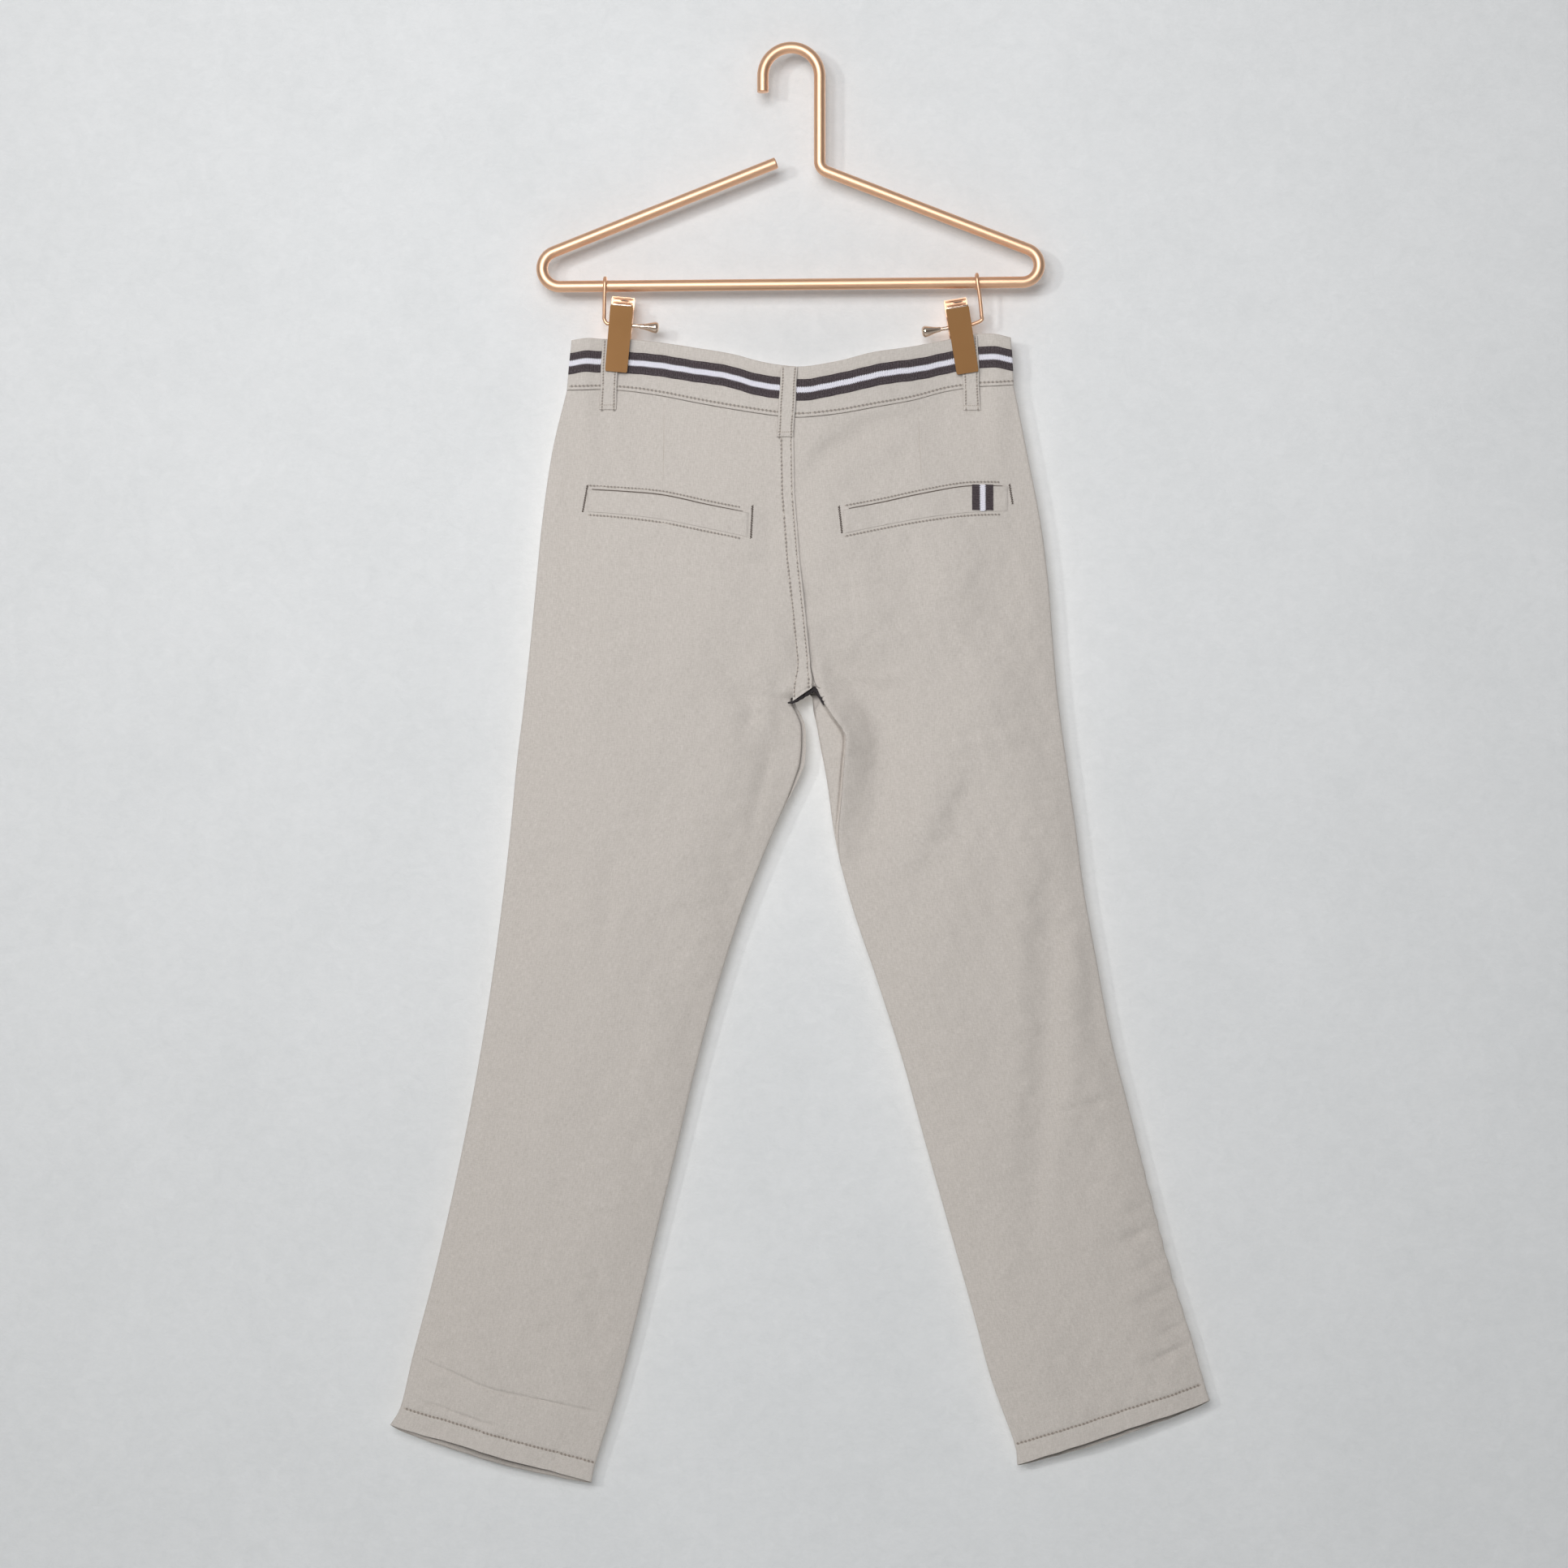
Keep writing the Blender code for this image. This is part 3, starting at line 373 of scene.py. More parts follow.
# top x, top z, seam x, seam z, half depth
waist = np.array([
    (-162.5, -212.5, -166.0, -249.5, 0.0), (-150.5, -211.0, -153.0, -249.5, 2.0),
    (-139.0, -211.5, -140.5, -249.0, 0.0), (-115.0, -212.0, -117.5, -250.5, 0.0),
    (-90.5, -215.5, -93.5, -254.5, 3.5), (-68.0, -219.5, -68.0, -260.0, 7.5),
    (-44.0, -224.0, -45.0, -264.5, 10.5), (-22.0, -230.0, -24.5, -268.0, 12.5),
    (-4.0, -233.0, -6.0, -270.5, 13.5), (11.0, -233.5, 10.0, -271.0, 13.5),
    (36.0, -229.0, 36.0, -268.0, 12.0), (60.0, -222.5, 62.0, -263.0, 9.0),
    (87.0, -218.0, 89.5, -257.5, 4.5), (113.0, -212.5, 114.5, -250.5, 0.0),
    (137.0, -208.0, 138.5, -247.0, 0.0), (150.5, -208.0, 152.0, -246.5, 2.0),
    (162.5, -210.5, 164.5, -245.5, 0.0),
])
# outer x, outer z, inner x, inner z, half depth, seat share
sections = {
    "left": np.array([
        (-166.0, -249.5, -3.0, -270.5, 13.0, 1.0), (-176.5, -293.5, -2.0, -327.0, 14.5, 1.0),
        (-184.0, -345.0, 2.0, -378.0, 15.0, 1.0), (-189.0, -396.0, 6.5, -420.0, 14.5, 0.85),
        (-192.5, -432.0, 9.5, -450.0, 13.0, 0.45), (-195.5, -461.0, 9.0, -476.0, 12.0, 0.0),
        (-198.5, -488.0, 11.0, -506.0, 12.0, 0.0), (-203.0, -525.0, 1.0, -542.0, 12.0, 0.0),
        (-207.0, -568.0, -17.0, -585.0, 11.5, 0.0), (-212.5, -618.0, -37.0, -636.0, 11.0, 0.0),
        (-219.5, -672.0, -54.5, -691.0, 10.5, 0.0), (-228.0, -728.0, -70.0, -748.0, 10.0, 0.0),
        (-239.0, -789.0, -85.0, -812.0, 9.5, 0.0), (-251.5, -849.0, -100.0, -874.0, 9.5, 0.0),
        (-265.0, -907.0, -114.5, -936.0, 9.0, 0.0), (-279.5, -962.0, -129.5, -994.0, 9.0, 0.0),
        (-288.5, -999.5, -144.0, -1040.5, 8.5, 0.0), (-296.5, -1014.5, -147.5, -1056.5, 8.5, 0.0),
    ]),
    "right": np.array([
        (164.5, -245.5, -3.0, -270.5, 13.0, 1.0), (173.5, -291.0, -2.0, -327.0, 14.5, 1.0),
        (184.0, -345.0, 2.0, -378.0, 15.0, 1.0), (190.0, -391.0, 6.5, -420.0, 14.5, 0.85),
        (193.0, -429.0, 9.5, -450.0, 13.0, 0.45), (195.5, -460.0, 9.0, -476.0, 12.0, 0.0),
        (198.5, -488.0, 19.0, -504.0, 12.0, 0.0), (204.0, -528.0, 26.0, -537.0, 12.0, 0.0),
        (210.0, -570.0, 32.5, -582.0, 11.5, 0.0), (216.5, -620.0, 44.5, -630.0, 11.0, 0.0),
        (225.5, -670.0, 63.0, -685.0, 10.5, 0.0), (236.0, -726.5, 82.0, -744.5, 10.0, 0.0),
        (250.0, -782.0, 99.0, -806.0, 9.5, 0.0), (264.5, -840.0, 116.5, -868.0, 9.5, 0.0),
        (280.0, -899.0, 134.0, -930.0, 9.0, 0.0), (295.0, -947.0, 147.5, -980.0, 9.0, 0.0),
        (305.0, -982.0, 164.5, -1027.0, 8.5, 0.0), (309.5, -996.5, 167.0, -1044.0, 8.5, 0.0),
    ]),
}
cloth = {
    "wall": 1.5,           # the solid's wall, whose outside the cloth lies on
    "shell": 1.1,          # the cloth as it shows
    "seamGap": 0.3,
    "crotch": 5,           # the section at which the legs part
    "hem": 17,             # the last section
    "hemTurn": 16.0,       # its length, which is the turned-up hem's height
    "hemSeam": 15.2,       # from the edge up to the hem's stitches
    "jointEnd": -465.0,    # pieces sewn over the crotch keep the cloth's y from here down
    "sideRounding": 2.7,
    "waistBlend": 95.0,
    "frontHemDrop": {"left": 5.4, "right": 4.0},  # about half of it shows from a camera above the hem
    "hemFlat": 0.5,        # the share of the depth that is left at the pressed hem
    "edgeRadius": 1.7,
    "hemRadius": 0.9,
    "columnStep": 2.6,
    "rowStep": 3.0,
    "hemRaise": 0.45,      # the turned-up hem stands this much proud
    "creaseGain": 1.25,
    "softWaves": 0.24,
    "smallWaves": 0.07,
}
facing = {"back": -1.0, "front": 1.0}


def waistAt(x):
    seam = waist[:, 2]
    k = np.clip(np.searchsorted(seam, x) - 1, 0, len(waist) - 2)
    share = np.clip((x - seam[k]) / (seam[k + 1] - seam[k]), 0.0, 1.0)
    row = rowsAt(waist, k + share)
    row[..., 4] = np.maximum(row[..., 4], 0.0)
    return row


def sectionAt(side, place):
    row = rowsAt(sections[side], place)
    if side == "right":
        shared = rowsAt(sections["left"], place)
        above = (np.asarray(place) <= cloth["crotch"])[..., None]
        row[..., 2:4] = np.where(above, shared[..., 2:4], row[..., 2:4])
    return row


def nearHem(place):
    # 0 to 1 over the last three sections
    return ease((np.asarray(place, float) - cloth["hem"] + 3) / 3)


def aboveHem(place):
    # the length from the hem's edge in mm
    return (cloth["hem"] - np.asarray(place, float)) * cloth["hemTurn"]


# where the legs part the soft edges lie apart: z, and how far each edge lies from its section's x
crotchEdges = {
    ("left", "back"): [(-527, 0.0), (-507, -3.2), (-496, -4.1), (-488, -6.5), (-482, -9.0), (-478, -10.0),
                       (-474, -4.0), (-468, 0.0)],
    ("right", "back"): [(-520, 0.0), (-504, 0.8), (-495, 2.5), (-486, 5.0), (-481, 10.0), (-476, 12.5),
                        (-470, 9.0), (-466, 0.0)],
    ("left", "front"): [(-560, 0.0), (-542, 2.0), (-527, 3.6), (-507, 0.0), (-496, -1.1), (-490, -3.0),
                        (-485, -5.4), (-480, -6.5), (-476, -5.0), (-471, 0.0)],
    ("right", "front"): [(-515, 0.0), (-504, 0.8), (-490, 3.0), (-482, 5.4), (-476, 6.5), (-471, 0.0)],
}


def outline(side, layer, across, place):
    # x and z; across is 0 at the side seam and 1 at the inner edge
    row = sectionAt(side, place)
    outward = -1.0 if side == "left" else 1.0
    table = np.array(crotchEdges[side, layer])
    inner = row[..., 2] + outward * cloth["seamGap"] / 2 + np.interp(row[..., 3], table[:, 0], table[:, 1])
    x = mix(row[..., 0], inner, across)
    z = mix(row[..., 1], row[..., 3], across)
    first = sections[side][0]
    seam = waistAt(mix(first[0], first[2], across))[..., 3] - cloth["seamGap"]
    z = z + (seam - mix(first[1], first[3], across)) * (1 - ease(place / 2.0))
    atHem = nearHem(place)
    z = z + atHem * (0.2 * np.sin(x * 0.1 + 1.0) + 0.12 * np.sin(x * 0.31))
    inside = np.clip(across, 0, 1)
    if side == "right":
        # the puckers reach the edge
        pucker = np.sin(z * 0.37 + 0.9 * np.sin(z * 0.13)) * bell(z, -885, 75)
        x = x + 0.4 * (1 - inside) ** 10 * pucker
    if layer == "front":
        z = z - cloth["frontHemDrop"][side] * np.sin(math.pi * inside) ** 0.6 * atHem
    return x, z


def centreX(z):
    rows = sections["left"][:cloth["crotch"] + 1]
    return np.interp(-np.asarray(z), -rows[:, 3], rows[:, 2])


# Creases pressed in: width on the left and on the right of the line as it runs, depth
# (negative stands proud) and the line's points as x and z. A width below 0 is a straight slope.
creases = {
    "back": [
        # the facet beside the rolled edge of the right thigh ends in a crisp trough
        (9.0, 3.0, -1.8, [(15, -424), (18, -440), (21, -458), (27, -480)]),
        (34.0, -26.0, 8.4, [(12, -420), (18, -432), (29, -453), (46, -466), (58, -478), (65, -502),
                            (67, -519), (61, -539), (56, -561), (51, -582), (48, -612)]),
        # the seat, right of the seam
        (1.8, 4.5, 1.1, [(26, -280), (42, -276.5), (56, -273), (76, -268)]),
        (2.2, 5.5, 1.3, [(10, -302), (24, -292), (38, -284.5), (58, -277)]),
        (6.0, 9.0, 2.4, [(8, -318), (20, -304), (38, -292), (62, -284), (82, -279)]),
        (5.0, 6.0, 1.5, [(44, -280), (62, -276), (84, -271), (104, -266)]),
        (8.0, 7.0, -1.0, [(16, -330), (34, -312), (58, -300), (88, -294)]),
        (7.0, 10.0, 0.9, [(70, -314), (80, -300), (92, -288)]),
        (4.0, 7.0, 0.9, [(8.5, -338), (8.5, -362), (11, -392), (15, -424)]),
        (9.0, 9.0, -0.8, [(20, -330), (22, -352), (26, -378)]),
        (4.0, 5.0, 0.6, [(40, -382), (44, -402), (46, -424)]),
        # the seat, left of the seam
        (6.0, 8.0, 1.2, [(-17, -334), (-16, -352), (-16, -370), (-20, -392)]),
        (6.0, 7.0, 1.6, [(-62, -374), (-46, -377), (-28, -380), (-14, -378)]),
        (9.0, 9.0, 1.0, [(-116, -284), (-104, -312), (-92, -330)]),
        (10.0, 10.0, 0.9, [(-52, -276), (-34, -290), (-22, -306)]),
        (14.0, 9.0, 1.8, [(-160, -262), (-163, -300), (-166, -340), (-168, -382)]),
        (7.0, 9.0, -1.0, [(-146, -270), (-149, -310), (-152, -352)]),
        (12.0, 12.0, 1.0, [(-80, -392), (-66, -412), (-54, -436)]),
        (7.0, 8.0, 1.8, [(-42, -466), (-34, -476), (-30, -488), (-34, -508)]),
        (7.0, 9.0, -1.4, [(-26, -440), (-20, -462), (-16, -490), (-20, -520)]),
        (4.0, 7.0, 1.5, [(-18, -500), (-17, -522), (-22, -548), (-32, -580)]),
        # the left thigh's rolled inner edge
        (1.0, 7.0, -2.2, [(-4, -466), (-2, -477), (2, -486), (7, -496), (9.5, -508), (8, -524), (2, -542)]),
        # the crotch, where the seams gather
        (2.5, 2.5, -1.6, [(-2, -462), (3, -472), (8, -478)]),
        (1.2, 1.2, 1.0, [(-6, -462), (-1, -470), (3, -476)]),
        (1.5, 1.5, 1.2, [(19, -462), (22, -474), (27, -483)]),
        # the right leg: the long trough with a ridge on each side
        (11.0, 13.0, 3.0, [(187, -556), (188, -610), (190, -660), (189, -720), (186, -770), (181, -820),
                            (176, -870), (172, -920)]),
        (10.0, 9.0, -1.1, [(206, -600), (210, -670), (208, -740), (200, -810)]),
        (9.0, 12.0, -1.0, [(168, -590), (168, -660), (166, -740), (160, -800)]),
        (14.0, 12.0, 2.2, [(140, -524), (128, -552), (114, -584), (96, -612), (78, -624)]),
        (10.0, 12.0, -1.1, [(112, -536), (100, -566), (84, -590)]),
        (9.0, 9.0, 1.1, [(58, -682), (66, -690), (80, -700)]),
        (8.0, 9.0, 1.0, [(92, -716), (98, -740), (102, -762)]),
        (2.2, 3.2, 1.1, [(193, -784), (206, -779), (222, -776), (242, -769)]),
        (3.0, 2.6, -0.5, [(196, -779), (212, -773), (240, -763)]),
        (1.6, 2.2, -0.5, [(190, -637), (205, -632), (219, -623)]),
        (2.0, 3.0, 0.8, [(152, -992), (162, -989), (174, -986)]),
        (3.0, 3.0, 0.8, [(106, -812), (116, -807), (128, -805)]),
        # the left leg
        (8.0, 9.0, 1.6, [(-132, -586), (-134, -612), (-137, -640), (-135, -668)]),
        (13.0, 14.0, 0.9, [(-192, -588), (-197, -650), (-203, -700)]),
        (12.0, 12.0, 1.0, [(-128, -704), (-118, -726), (-122, -760)]),
        (10.0, 11.0, 0.9, [(-190, -720), (-176, -744), (-164, -772)]),
        (8.0, 8.0, 0.9, [(-196, -800), (-204, -850), (-206, -900)]),
        (9.0, 9.0, 1.0, [(-206, -908), (-212, -940), (-222, -962)]),
        (1.3, 1.8, 0.9, [(-123, -790), (-112, -793), (-98, -796)]),
        (1.6, 1.6, 0.7, [(-121, -803), (-106, -801), (-98, -800)]),
        (1.4, 2.0, 0.7, [(-118, -797), (-110, -803), (-99, -806)]),
        (8.0, 8.0, 1.0, [(-146, -886), (-142, -930), (-150, -968)]),
        # above the left hem
        (1.0, 3.2, 1.5, [(-290, -960), (-279, -963), (-251, -974), (-219, -987), (-169, -998),
                          (-137, -1006), (-124, -1010)]),
        (1.0, 2.6, 1.0, [(-296, -990), (-281, -994), (-258, -1001), (-228, -1011), (-198, -1018)]),
        (2.6, 3.0, 0.6, [(-240, -996), (-232, -1014), (-228, -1026)]),
    ],
    "front": [
        (12.0, 12.0, 1.8, [(-46, -366), (-72, -346), (-104, -334)]),
        (12.0, 12.0, 2.0, [(26, -326), (54, -308), (84, -300)]),
        (9.0, 12.0, 3.0, [(-30, -456), (-52, -476), (-66, -504), (-74, -540)]),
        (9.0, 12.0, 3.0, [(48, -446), (70, -474), (80, -506), (84, -546)]),
        (11.0, 11.0, 2.4, [(-176, -590), (-181, -650), (-186, -710), (-194, -780), (-206, -850)]),
        (11.0, 11.0, 2.4, [(150, -600), (155, -660), (164, -720), (176, -790), (190, -860)]),
        (8.0, 9.0, -1.1, [(-150, -600), (-156, -680), (-164, -760)]),
        (8.0, 9.0, -1.1, [(124, -620), (134, -690), (148, -760)]),
        (5.0, 6.0, 1.2, [(-14, -420), (-36, -430), (-60, -428)]),
        (5.0, 6.0, 1.2, [(18, -424), (42, -432), (66, -428)]),
        (3.0, 4.0, 1.0, [(-98, -800), (-120, -792), (-146, -790)]),
        (3.0, 4.0, 1.0, [(112, -770), (136, -764), (160, -764)]),
        (10.0, 10.0, 1.3, [(-140, -280), (-150, -330), (-156, -380)]),
        (10.0, 10.0, 1.3, [(140, -400), (150, -440), (152, -480)]),
        (2.0, 3.0, 0.9, [(-276, -972), (-230, -988), (-180, -1002)]),
        (2.0, 3.0, 0.9, [(180, -1000), (226, -988), (280, -966)]),
    ],
}
# short uneven puckers that rise to the outer edge of the right leg: z at the edge, reach, depth
for z, reach, depth in (
        (-637, 20, 0.4), (-704, 24, 0.4), (-726, 16, 0.3), (-744, 22, 0.4), (-808, 18, 0.4), (-829, 26, 0.5),
        (-849, 20, 0.6), (-866, 40, 1.0), (-877, 18, 0.5), (-889, 22, 0.9), (-900, 14, 0.4), (-911, 32, 0.9),
        (-926, 16, 0.5), (-938, 22, 0.6), (-953, 34, 1.0), (-965, 14, 0.5)):
    edge = float(np.interp(-z, -sections["right"][:, 1], sections["right"][:, 0]))
    width = 1.6 + reach * 0.05
    for layer, gain, far, farDrop, near, nearDrop in (("back", 2.0, 1.0, 0.42, 0.45, 0.2),
                                                      ("front", 1.6, 0.8, 0.36, 0.4, 0.14)):
        creases[layer].append((width, width * 1.5, depth * gain, [
            (edge - reach * far, z - reach * farDrop), (edge - reach * near, z - reach * nearDrop),
            (edge + 10.0, z + 4.0)]))


def besideLine(corners, x, z, reach):
    # which points lie near a smooth line and, for those, the distance from it (positive on the
    # left as it runs), the share of its length and the direction to its left
    line = smoothed(np.asarray(corners, float)[:, :2], 4)
    near = (x > line[:, 0].min() - reach) & (x < line[:, 0].max() + reach)
    near &= (z > line[:, 1].min() - reach) & (z < line[:, 1].max() + reach)
    px, pz = x[near], z[near]
    best, along = np.full(px.shape, 1e9), np.zeros(px.shape)
    leftX, leftZ, sign = np.zeros(px.shape), np.zeros(px.shape), np.ones(px.shape)
    spans = np.hypot(*(line[1:] - line[:-1]).T)
    run = runFrom(spans) / spans.sum()
    for k in range(len(spans)):
        dx, dz = (line[k + 1] - line[k]) / spans[k]
        fromX, fromZ = px - line[k, 0], pz - line[k, 1]
        share = np.clip((fromX * dx + fromZ * dz) / spans[k], 0.0, 1.0)
        away = np.hypot(fromX - share * dx * spans[k], fromZ - share * dz * spans[k])
        closer = away < best
        best = np.where(closer, away, best)
        along = np.where(closer, mix(run[k], run[k + 1], share), along)
        sign = np.where(closer, np.where(dx * fromZ - dz * fromX > 0, 1.0, -1.0), sign)
        leftX, leftZ = np.where(closer, -dz, leftX), np.where(closer, dx, leftZ)
    return near, best * sign, along, leftX, leftZ


def creaseDepth(layer, x, z):
    total = np.zeros_like(x)
    for leftWidth, rightWidth, depth, corners in creases[layer]:
        near, away, along, _x, _z = besideLine(corners, x, z, 3.0 * max(leftWidth, rightWidth))
        if near.any():
            width = np.where(away > 0, leftWidth, rightWidth)
            taper = np.sin(math.pi * np.clip(along, 0.02, 0.98)) ** 0.7
            share = np.abs(away / width)
            form = np.where(width < 0, np.maximum(1 - share, 0.0), np.exp(-share ** 2))
            total[near] += depth * taper * form * cloth["creaseGain"]
    return total


# the rolled inner edge of the right thigh: x, z, height of the step and how far it overhangs
thighRoll = [(14, -452, 0.0, 0.0), (17, -464, 2.5, 0.4), (23, -477, 6.0, 1.4), (32, -491, 8.5, 1.8),
             (38.5, -500, 9.0, 1.6), (40.8, -509, 9.0, 1.3), (39, -529, 8.0, 1.0), (37.2, -553, 6.5, 0.7),
             (35, -579, 4.5, 0.4), (36.5, -610, 0.5, 0.0)]


def rollThigh(outer):
    near, away, along, leftX, leftZ = besideLine(thighRoll, outer[..., 0], outer[..., 2], 45.0)
    table = np.array(thighRoll)
    spans = np.hypot(*(table[1:, :2] - table[:-1, :2]).T)
    run = runFrom(spans) / spans.sum()
    height, hang = np.interp(along, run, table[:, 2]), np.interp(along, run, table[:, 3])
    step = ease((away + 0.8) / 1.6) * np.maximum(1 - np.maximum(away, 0.0) / 24.0, 0.0)
    foot = 0.3 * bell(away, -1.4, 1.2)
    pushed = hang * (bell(away, -0.9, 0.8) * 0.6 - bell(away, 0.5, 1.1))
    outer[near] += np.stack([pushed * leftX, -height * (step - foot), pushed * leftZ], -1)


crotchSwell = {"back": 4.5, "front": 8.5}


random = np.random.default_rng(11)
waves = []
for count, low, high, size in ((16, 48.0, 120.0, "softWaves"), (26, 13.0, 30.0, "smallWaves")):
    for _ in range(count):
        heading = random.normal(0.0, 0.55) if size == "softWaves" else random.uniform(-1.5, 1.5)
        waves.append((2 * math.pi / random.uniform(low, high), heading, random.uniform(0, 6.28), size))


def unevenness(layer, x, z):
    total = np.zeros_like(x)
    shift = 0.0 if layer == "back" else 2.6
    for turns, heading, phase, size in waves:
        wave = np.sin(turns * (x * math.cos(heading) + z * math.sin(heading)) + phase + shift * phase)
        total += wave * cloth[size]
    return total


def hollowDepth(side, layer, across, place):
    # from the middle plane to the inside of a panel, creases and all
    row = sectionAt(side, place)
    x, z = outline(side, layer, across, place)
    inside = np.clip(across, 0.0, 1.0)
    halfLens = 1.0 - (1.0 - inside) ** cloth["sideRounding"]
    fullLens = 1.0 - np.abs(2.0 * inside - 1.0) ** cloth["sideRounding"]
    depth = row[..., 4] * mix(fullLens, halfLens, np.clip(row[..., 5], 0.0, 1.0))
    depth = depth * mix(1.0, cloth["hemFlat"], nearHem(place))
    band = waistAt(x)
    blend = ease((band[..., 3] - z) / cloth["waistBlend"])
    depth = mix(band[..., 4], depth, blend)
    hold = np.clip(depth / 4.0, 0.0, 1.0)
    loose = hold * mix(0.35, 1.0, blend)
    pressed = creaseDepth(layer, x, z) * np.maximum(hold, 0.35) + unevenness(layer, x, z) * loose
    swell = crotchSwell[layer] * np.exp(-((x - 9) / 15) ** 2 - ((z + 471) / 10) ** 2)
    return cloth["seamGap"] / 2 + np.maximum(depth - pressed, 0.0) + swell


def hemCurl(across, place):
    # the front's hem hangs a little lower and its edge curls towards the back
    return ease((7.0 - aboveHem(place)) / 7.0) * np.sin(math.pi * np.clip(across, 0, 1)) ** 0.5


def outerPanel(side, layer, across, place):
    # x, y and z of the outside of the cloth
    x, z = outline(side, layer, across, place)
    row = sectionAt(side, place)
    width = np.abs(row[..., 2] - row[..., 0])
    radius = cloth["edgeRadius"]
    rise = rounding(np.clip(across, 0, 1) * width, radius)
    joined = ease((cloth["crotch"] + 0.25 - np.asarray(place, float)) / 0.3)
    innerRise = rounding(np.clip(1 - across, 0, 1) * width, radius)
    rise = np.minimum(rise, mix(innerRise, mix(0.7, 1.0, innerRise), joined))
    drop = (waistAt(x)[..., 3] - cloth["seamGap"]) - z
    rise = np.minimum(rise, mix(0.55, 1.0, rounding(np.maximum(drop, 0), 1.2)))
    hemLength = aboveHem(place)
    rise = np.minimum(rise, mix(0.25, 1.0, rounding(np.maximum(hemLength, 0), cloth["hemRadius"])))
    inHem = ease((cloth["hemTurn"] - hemLength) / 1.2)
    groove = bell(hemLength, cloth["hemSeam"], 0.9)
    pucker = bell(hemLength, 17.0, 4.0) * np.sin(x * 0.83 + 2.0 * np.sin(x * 0.19)) * 0.16
    lift = cloth["hemRaise"] * inHem * rise - 0.4 * groove + pucker
    depth = hollowDepth(side, layer, across, place)
    y = depth + cloth["wall"] * rise + lift * rise
    if layer == "front":
        y = y - hemCurl(across, place) * (depth + 1.6)
    return x, facing[layer] * y, z


def locate(side, layer, x, z):
    # the share across a panel and the place down it, found by halving
    low, high = np.zeros_like(x), np.full_like(x, float(cloth["hem"]))
    for _ in range(26):
        place = (low + high) / 2
        startX = outline(side, layer, np.zeros_like(x), place)[0]
        endX = outline(side, layer, np.ones_like(x), place)[0]
        across = np.clip((x - startX) / (endX - startX), 0.0, 1.0)
        isAbove = outline(side, layer, across, place)[1] > z
        low, high = np.where(isAbove, place, low), np.where(isAbove, high, place)
    return across, (low + high) / 2


def bandRelief(layer, x, share):
    # the waistband's own small unevenness; share is 0 at its top and 1 at the seam
    relief = 0.16 * np.sin(x * 0.11 + 1.3 * share) + 0.12 * np.sin(x * 0.31 - 2.2 * share + 1.0)
    relief -= 0.35 * bell(share, 0.925, 0.022)
    if layer == "back":
        relief += 0.55 * bell(x, 12.2, 0.9) - 0.6 * bell(x, 14.8, 0.7)
        relief += 0.5 * np.sin(x * 1.1) * np.exp(-(x / 11.0) ** 2) * np.exp(-(share / 0.22) ** 2)
    return relief


def outsideY(layer, x, z, outward=0.0):
    # y of the cloth that shows at x and z, moved outward
    x, z = (values.copy() for values in np.broadcast_arrays(np.asarray(x, float), np.asarray(z, float)))
    band = waistAt(x)
    onBand = z >= band[..., 3]
    share = np.clip((band[..., 1] - z) / (band[..., 1] - band[..., 3]), 0.0, 1.0)
    y = facing[layer] * (cloth["seamGap"] / 2 + band[..., 4] + cloth["wall"] + bandRelief(layer, x, share))
    for side in ("left", "right"):
        chosen = ~onBand & ((x < centreX(z)) == (side == "left"))
        if chosen.any():
            across, place = locate(side, layer, x[chosen], z[chosen])
            y[chosen] = outerPanel(side, layer, across, place)[1]
    return y + facing[layer] * outward


def sheetSize(uv):
    # width, length and area of a laid grid, in metres, from its flat places in mm
    a, b, c, d = uv[:-1, :-1], uv[:-1, 1:], uv[1:, 1:], uv[1:, :-1]
    cross = (c - a)[..., 0] * (d - b)[..., 1] - (c - a)[..., 1] * (d - b)[..., 0]
    area = float(np.abs(cross).sum() / 2) * 1e-6
    wide, tall = (uv.reshape(-1, 2).max(0) - uv.reshape(-1, 2).min(0)) * mm
    return float(wide), float(tall), area


def declareSheet(piece, uv, restsOn, extra=()):
    wide, tall, area = sheetSize(uv)
    wide, tall = max(wide, 0.0101), max(tall, 0.0101)  # no side at or under the least of 10 mm


def addSheet(node, outer, inner, restsOn, finish="cloth", uv=None):
    # a shell in place of its solid, with its flat size worked out
    uv = flatPlaces(outer) if uv is None else uv
    name = node + ("_cloth" if finish == "cloth" else "_ribbon")
    declareSheet(addShell(name, outer, inner, finish, uv, node), uv, restsOn)


def flatPlaces(points):
    # a grid's places in mm when it is laid flat: x by the lengths along its rows
    steps = np.linalg.norm(np.diff(points, axis=1), axis=2)
    run = np.concatenate([np.zeros((len(points), 1)), np.cumsum(steps, 1)], 1)
    middle = points.shape[1] // 2
    drop = runFrom(np.linalg.norm(np.diff(points[:, middle], axis=0), axis=1))
    return np.stack([run - run[:, middle:middle + 1], np.broadcast_to(-drop[:, None], run.shape)], -1)


panelSteps = {
    # distances in mm at which points lie close together
    "edge": [0.0, 0.08, 0.3, 0.7, 1.2, 1.9, 3.2, 5.0],
    "hemSeam": [-1.6, -0.9, -0.4, 0.0, 0.4, 0.9, 1.6],
    "thighRoll": [-3.4, -2.6, -2.0, -1.5, -1.1, -0.8, -0.5, -0.2, 0.1, 0.4, 0.8, 1.2, 1.7, 2.3, 3.2],
    "hemSeamUp": 15.6,
    "rolled": 2.1,
}


